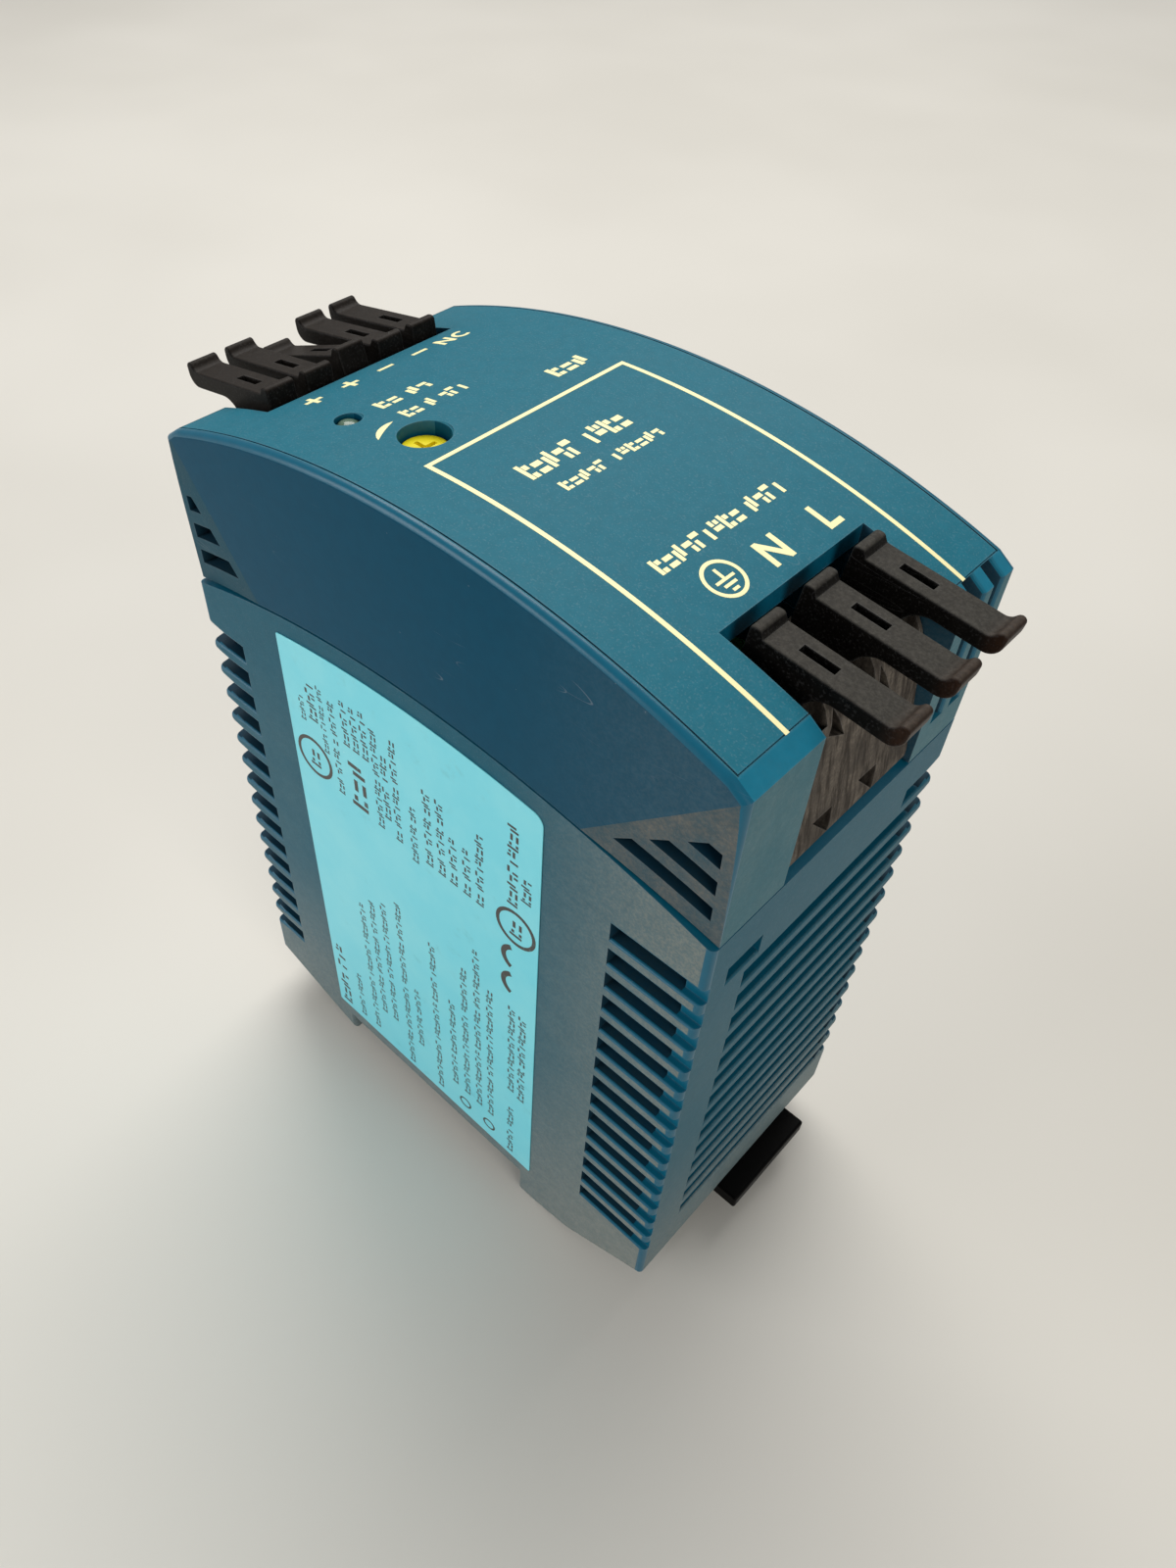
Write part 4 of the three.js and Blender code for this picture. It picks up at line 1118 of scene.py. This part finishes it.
def build_front_print():
    marks = Print(top_surface, (0, 0, 1), bold=0.04)
    cross_x, end_x = -1.9, MAX_X - BEVEL_X
    near_y, far_y = -13.4, 13.6
    marks.line((cross_x, near_y - 0.25), (cross_x, far_y + 0.25), 0.5)
    for y in (near_y, far_y):
        marks.line((cross_x, y), (end_x, y), 0.5)
    marks.words((6.4, -8.4), (6.4, 5.6), 2.4, [5, 4])
    marks.words((9.6, -7.3), (9.6, 6.4), 1.3, [5, 6])
    marks.words((22.0, -9.3), (22.0, 8.9), 1.7, [9, 4])
    marks.words((-4.8, 7.2), (-4.8, 12.4), 1.9, [3])
    marks.words((-14.1, -8.0), (-14.1, -1.0), 1.7, [2, 2])
    marks.words((-10.4, -7.9), (-10.4, 0.6), 1.7, [2, 1, 3])
    marks.letter((25.9, 1.2), N_STROKES, 3.0, 0.6)
    marks.letter((26.0, 9.0), L_STROKES, 3.0, 0.6)
    marks.letter((-22.6, 8.5), N_STROKES, 2.0, 0.42)
    marks.arc((-22.6, 10.8), 0.85, 0.42, 140, 400)
    for index in range(4):
        strokes = PLUS_STROKES if index < 2 else MINUS_STROKES
        marks.letter((-22.8, -9.9 + 4.9 * index), strokes, 2.6, 0.5)
    earth = Vector((25.4, -5.3))
    marks.arc(earth, 1.95, 0.38)
    marks.line(earth + Vector((-1.2, 0)), earth + Vector((0, 0)), 0.35)
    for step, half in enumerate((1.2, 0.8, 0.4)):
        x = 0.1 + 0.6 * step
        marks.line(earth + Vector((x, -half)), earth + Vector((x, half)), 0.3)
    marks.arc(node_axis("trimmer_rotor"), 4.35, 0.7, 182, 234, pointed=True)
    piece = new_object("front_print", marks.bm)
    return finish_piece(piece, front_ink)


def text(x, foot, head, *words, height=1.1):
    """One line of print up the label at x, from foot to head, in words of so many characters."""
    return x, foot, head, height, words


LOWER_PRINT = [
    text(-17.3, 4.5, 19.5, 4, 3, height=1.9), text(-13.9, 5, 16, 5, 6), text(-10.6, 5.5, 36, 4, 8, 7, 9),
    text(-8.4, 12, 38.5, 9, 8, 7), text(-6.0, 12.5, 40.5, 10, 8, 9), text(-3.0, 4.5, 43, 9, 11, 10, 8),
    text(-0.6, 12, 26, 8, 6), text(3.1, 5, 40.5, 12, 9, 5, 7), text(6.3, 10, 31, 7, 12),
    text(8.7, 10, 41, 11, 9, 10), text(11.0, 10, 47, 14, 9, 12), text(13.2, 10, 41, 10, 8, 12),
    text(16.9, 4.5, 17, 6, 5), text(16.9, 21.5, 41.5, 19), text(18.7, 21, 41, 8, 11, height=1.2),
]
UPPER_PRINT = [
    text(-16.9, 65.5, 69.5, 6, height=0.9), text(-14.6, 66.5, 72.5, 6, height=1.6),
    text(-13.2, 62.5, 73, 4, 5, 3, height=0.9), text(-11.2, 57, 72, 3, 5, 1, 6),
    text(-9.0, 66.5, 73.5, 7), text(-7.4, 66.5, 73.5, 7), text(-5.8, 66.5, 74, 7),
    text(-4.2, 56.5, 72.5, 9, 8), text(-2.8, 59, 69.5, 5, 4), text(-1.1, 56.5, 73, 2, 7, 7),
    text(1.5, 55, 64.5, 8, 3), text(4.0, 56.5, 69, 3, 5, 4, height=1.2),
    text(6.0, 56.5, 69, 3, 5, 4, height=1.2), text(7.9, 56.5, 64.5, 2, 5, height=1.2),
    text(10.0, 56.5, 64.5, 2, 5, height=1.2), text(12.0, 56.5, 68.5, 2, 9, height=1.2),
    text(17.0, 61, 74, 10, height=1.5), text(18.9, 63, 67, 4, height=1.4),
]


def build_label_print():
    marks = Print(label_surface, (0, -1, 0), LABEL_PRINT_LIFT)
    for x, foot, head, height, words in LOWER_PRINT + UPPER_PRINT:
        marks.words((x, foot), (x, head), height, words)
    for x, z, radius in ((-16.3, 59.9, 2.9), (16.8, 57.3, 2.7)):
        marks.arc((x, z), radius, 0.5)
        marks.words((x + 0.9, z - 1.5), (x + 0.9, z + 1.5), 1.8, [2])
    marks.words((-7.0, 56.8), (-7.0, 64.8), 2.8, [3])
    for z in (46.2, 51.4):
        marks.arc((17.0, z), 2.0, 0.75, 115, 245)
    for x in (7.9, 12.6):
        marks.arc((x - 0.3, 6.5), 1.0, 0.3)
    piece = new_object("label_print", marks.bm)
    return finish_piece(piece, label_ink)


def build_label():
    low, high = node_box("rating_label")
    corner = 1.5
    crown = SEAM_Z - 2.5
    edge_x = high.x - corner
    corner_z = arc_z(crown, SEAM_RADIUS, edge_x) - corner
    outline = [
        (low.x, low.z), (high.x, low.z), *round_points(edge_x, corner_z, corner, 0, 75, 8),
        *arc_points(crown, SEAM_RADIUS, edge_x, low.x, 40),
    ]
    label = prism("label_sheet", soften(outline, 0.3), low.y + LABEL_PRINT_LIFT, high.y, 0.03)
    return finish_piece(label, label_film, ["rating_label"])


# ---- terminals


def lever_outline():
    top, under = LEVER_TOP, LEVER_TOP - LEVER_PLATE
    outline = [
        (-LEVER_INNER, 0.4), *round_points(-LEVER_INNER + 1.6, -0.6, 1.6, 180, 235, 6),
        (-1.8, -3.4), *round_points(-0.3, -3.2, 1.5, 190, 330, 10), (1.6, -1.4),
        *round_points(4.6, under - 2.6, 2.6, 160, 90, 9), (LEVER_OUTER - 1.7, under),
        *round_points(LEVER_OUTER - 1.5, under + 1.5, 1.5, -80, 0, 8), (LEVER_OUTER, top + 0.3),
        *round_points(LEVER_OUTER - 0.5, top + 0.4, 0.5, 10, 150, 6),
        *round_points(LEVER_OUTER - 1.9, top + 1.0, 1.0, -30, -90, 5),
        (-LEVER_INNER + 1.5, top), *round_points(-LEVER_INNER + 0.75, top + 0.2, 0.5, 20, 90, 5),
        *round_points(-LEVER_INNER + 0.5, top + 0.2, 0.5, 90, 180, 5),
    ]
    return outline


def facing(row):
    """Turns what is drawn for the input end to face out of a row's own end."""
    return Matrix.Rotation(0 if row["out"] > 0 else math.pi, 4, "Z")


def build_lever(row, index):
    name = f"{row['name']}_lever_{index}"
    joint = joints[name]
    pivot = Vector(joint["pos_m"]) / MM
    low, high = node_box(name)
    half = (high.y - low.y) / 2
    lever = prism(name + "_arm", lever_outline(), -half, half, 0.22)
    combine(lever, boxes(((-0.4, -0.48, LEVER_TOP - 1.4), (3.1, 0.48, LEVER_TOP + 1))))
    down = row["tilt"] + (HALF_PRESSED if name == HALF_PRESSED_LEVER else 0)
    place = Matrix.Translation(pivot) @ facing(row)
    lever.data.transform(place @ Matrix.Rotation(math.radians(down), 4, "Y"))
    return finish_piece(lever, row["levers"], [name], body=name)


def block_outline(row):
    back = -row["depth"] + GAP
    return [
        (-0.5, 76.9), (-0.5, 78), (-2.3, 90.4), (-2.9, 92), (-4.6, DECK_Z), (back, DECK_Z),
        (back, BLOCK_BASE_Z), (-2.5, BLOCK_BASE_Z), (-2.5, 76.9),
    ]


def corner_openings(row, y):
    """Three-cornered openings between two poles: one at the block's foot, one near its deck."""
    scale = row["pitch"] / INPUT["pitch"]
    foot = ((4.3, 80.1), (1.15, 80.2), (4.0, 77.2))
    deck = ((3.2, 91.8), (2.4, 89.4), (5.0, 88.0))
    bm = bmesh.new()
    for corners in (foot, deck):
        rings = []
        for x in (0.6, -8.0):
            rings.append([(x, y + corner_y * scale, z) for corner_y, z in corners])
        add_rings(bm, rings)
    return new_object("cutter", bm)


def lever_well(row, name):
    """The pocket in a terminal block in which a lever moves, with its middle's y."""
    low, high = node_box(name)
    y = (low.y + high.y) / 2 * row["out"]
    half = (high.y - low.y) / 2 + 0.35
    back = max(-row["pivot_in"] - LEVER_INNER - 0.8, -row["depth"] + GAP + 0.6)
    front = -row["pivot_in"] + 2.9
    return y, boxes(((back, y - half, WELL_FLOOR_Z), (front, y + half, DECK_Z + 1)))


def build_block(row):
    name = f"{row['name']}_terminal_block"
    low, high = node_box(name)
    spans = sorted((low.y * row["out"], high.y * row["out"]))
    block = prism(name + "_body", soften(block_outline(row), 0.35), *spans, 0.2)
    for index in range(1, row["poles"] + 1):
        y, well = lever_well(row, f"{row['name']}_lever_{index}")
        if y + row["pitch"] < spans[1]:
            combine(block, corner_openings(row, y))
        combine(block, well)
    block.data.transform(Matrix.Translation((row["end"], 0, 0)) @ facing(row))
    return finish_piece(block, block_plastic, [name])


# ---- latch, trimmer, light


def build_latch():
    low, high = node_box("rail_latch")
    plate_low, plate_high = -0.2, 2.4
    step_x, lip_x, lip_z = RAIL_HALF + 0.4, RAIL_HALF + 2.4, -1.3
    outline = [
        (step_x, plate_high), (high.x, plate_high), (high.x, plate_low), (lip_x, plate_low),
        (lip_x, low.z), (RAIL_HALF, low.z), (low.x, 2 * lip_z), (low.x, lip_z), (step_x, lip_z),
    ]
    latch = prism("latch_slide", soften(outline, 0.45), low.y, high.y, 0.35)
    window = ((25, low.y + 5, -2), (39, high.y - 5, 4))
    combine(latch, boxes(window))
    return finish_piece(latch, latch_plastic, ["rail_latch"], body="rail_latch")


def build_latch_spring():
    """A folded leaf spring in place of the latch spring."""
    low, high = node_box("latch_spring")
    folds, thickness = 5, 0.4
    middle_y = (low.y + high.y) / 2
    inset_x, swing, steps = 0.3, 2, folds * 8
    line = []
    for i in range(steps + 1):
        share = i / steps
        wave = math.sin(math.pi * (share * folds - 0.5) * 2)
        x = low.x + inset_x + (high.x - low.x - 2 * inset_x) * share
        line.append((x, middle_y + swing * wave))
    rings = []
    for i, (x, y) in enumerate(line):
        bx, by = line[max(i - 1, 0)]
        ax, ay = line[min(i + 1, len(line) - 1)]
        side = Vector((-(ay - by), ax - bx)).normalized() * thickness / 2
        ring = []
        for sign, z in ((-1, low.z), (1, low.z), (1, high.z), (-1, high.z)):
            ring.append((x + sign * side.x, y + sign * side.y, z))
        rings.append(ring)
    bm = bmesh.new()
    add_rings(bm, rings)
    spring = finish_piece(
        new_object("latch_leaf", bm), latch_spring_steel, ["latch_spring"],
    )
    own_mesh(spring)
    return spring


def build_rotor():
    low, high = node_box("trimmer_rotor")
    x, y = node_axis("trimmer_rotor")
    radius = 2.45
    profile = [
        (3.4, low.z), (3.4, low.z + 1.2), (radius, low.z + 1.3), (radius, high.z - 0.25),
        (radius - 0.07, high.z - 0.07), (radius - 0.25, high.z),
    ]
    rotor = lathe("trimmer_dial", x, y, profile, 64)
    reach, half = 1.4, 0.25
    for size in ((reach, half), (half, reach)):
        corner_low = (x - size[0], y - size[1], high.z - 0.4)
        corner_high = (x + size[0], y + size[1], high.z + 1)
        combine(rotor, boxes((corner_low, corner_high)))
    name = "trimmer_rotor"
    return finish_piece(rotor, rotor_plastic, [name], body=name)


def build_light_guide():
    low, high = node_box("light_guide")
    x, y = node_axis("light_guide")
    stem, collar, rise = 1.18, 2.0, 0.6
    angles = (0, 0.3, 0.6, 0.9, 1.2, 1.45)
    dome = [(stem * math.cos(a), high.z - rise + rise * math.sin(a)) for a in angles]
    collar_low, collar_high = low.z + 1.2, low.z + 2.4
    profile = [
        (stem, low.z), (stem, collar_low), (collar, collar_low), (collar, collar_high),
        (stem, collar_high), *dome,
    ]
    guide = lathe("light_pipe", x, y, profile, 40)
    return finish_piece(guide, lens_plastic, ["light_guide"])


# ---- assembly

build_body()
build_hood()
build_label()
build_label_print()
build_front_print()
INPUT["levers"], OUTPUT["levers"] = lever_plastic, dark_lever_plastic
for row in (INPUT, OUTPUT):
    build_block(row)
    for index in range(1, row["poles"] + 1):
        build_lever(row, index)
build_latch()
build_latch_spring()
build_rotor()
build_light_guide()

for part in frame["record"]["subparts"]:
    node = frame["nodes"][part["node"]]
    material = SLOT_MATERIALS.get(part["material_slot"])
    if material and not node.hide_render:
        node.data.materials.clear()
        node.data.materials.append(material)

# ---- stage, lights and camera


def build_stage():
    floor_z = cad_box[0][2]
    bm = bmesh.new()
    bmesh.ops.create_grid(bm, x_segments=2, y_segments=2, size=3)
    mesh = bpy.data.meshes.new("floor")
    bm.to_mesh(mesh)
    bm.free()
    floor = linked("floor", mesh)
    floor.location.z = floor_z
    n = Nodes("pale_floor")
    cloud = n.ramp(n.noise(0.004, 3.0), 0.3, 0.7)
    colour = n.mix(cloud, (0.56, 0.54, 0.49), (0.62, 0.60, 0.55))
    floor.data.materials.append(n.surface(Base_Color=colour, Roughness=0.45))


def add_area(name, place, target, size, power, colour):
    light = bpy.data.lights.new(name, "AREA")
    light.shape = "RECTANGLE"
    light.size, light.size_y = size
    light.energy = power
    light.color = colour
    lamp = bpy.data.objects.new(name, light)
    lamp.location = place
    lamp.rotation_euler = (Vector(target) - Vector(place)).to_track_quat("-Z", "Y").to_euler()
    bpy.context.scene.collection.objects.link(lamp)


def build_lights():
    middle = (0, 0, 0.05)
    add_area("key", (-0.35, 0.45, 0.85), middle, (0.9, 0.6), 9.5, (1.0, 0.98, 0.95))
    add_area("fill", (-0.5, -0.75, 0.35), middle, (0.7, 0.5), 5.0, (0.97, 0.98, 1.0))
    add_area("end_fill", (0.9, -0.25, 0.45), middle, (0.5, 0.5), 3.6, (1.0, 0.98, 0.95))
    world = bpy.data.worlds.new("studio")
    world.use_nodes = True
    background = world.node_tree.nodes["Background"]
    background.inputs["Color"].default_value = (0.93, 0.94, 0.95, 1)
    background.inputs["Strength"].default_value = 0.32
    bpy.context.scene.world = world
    bpy.context.scene.view_settings.view_transform = "Standard"


def build_camera():
    """Looks down at the near corner of the input end, with axes solved from the photo's edges."""
    camera = bpy.data.cameras.new("camera")
    camera.lens = 26.45
    camera.sensor_width = 36
    camera.shift_x, camera.shift_y = 0.0581, -0.0113
    camera.clip_start = 0.01
    holder = bpy.data.objects.new("camera", camera)
    place = Vector((66.39, -73.87, 158.20)) * MM
    right = Vector((0.713394, 0.700760, -0.002114))
    up = Vector((-0.504939, 0.516130, 0.691842))
    turn = Matrix((right, up, right.cross(up))).transposed().to_4x4()
    holder.matrix_world = Matrix.Translation(place) @ turn
    bpy.context.scene.collection.objects.link(holder)
    bpy.context.scene.camera = holder


build_stage()
build_lights()
build_camera()
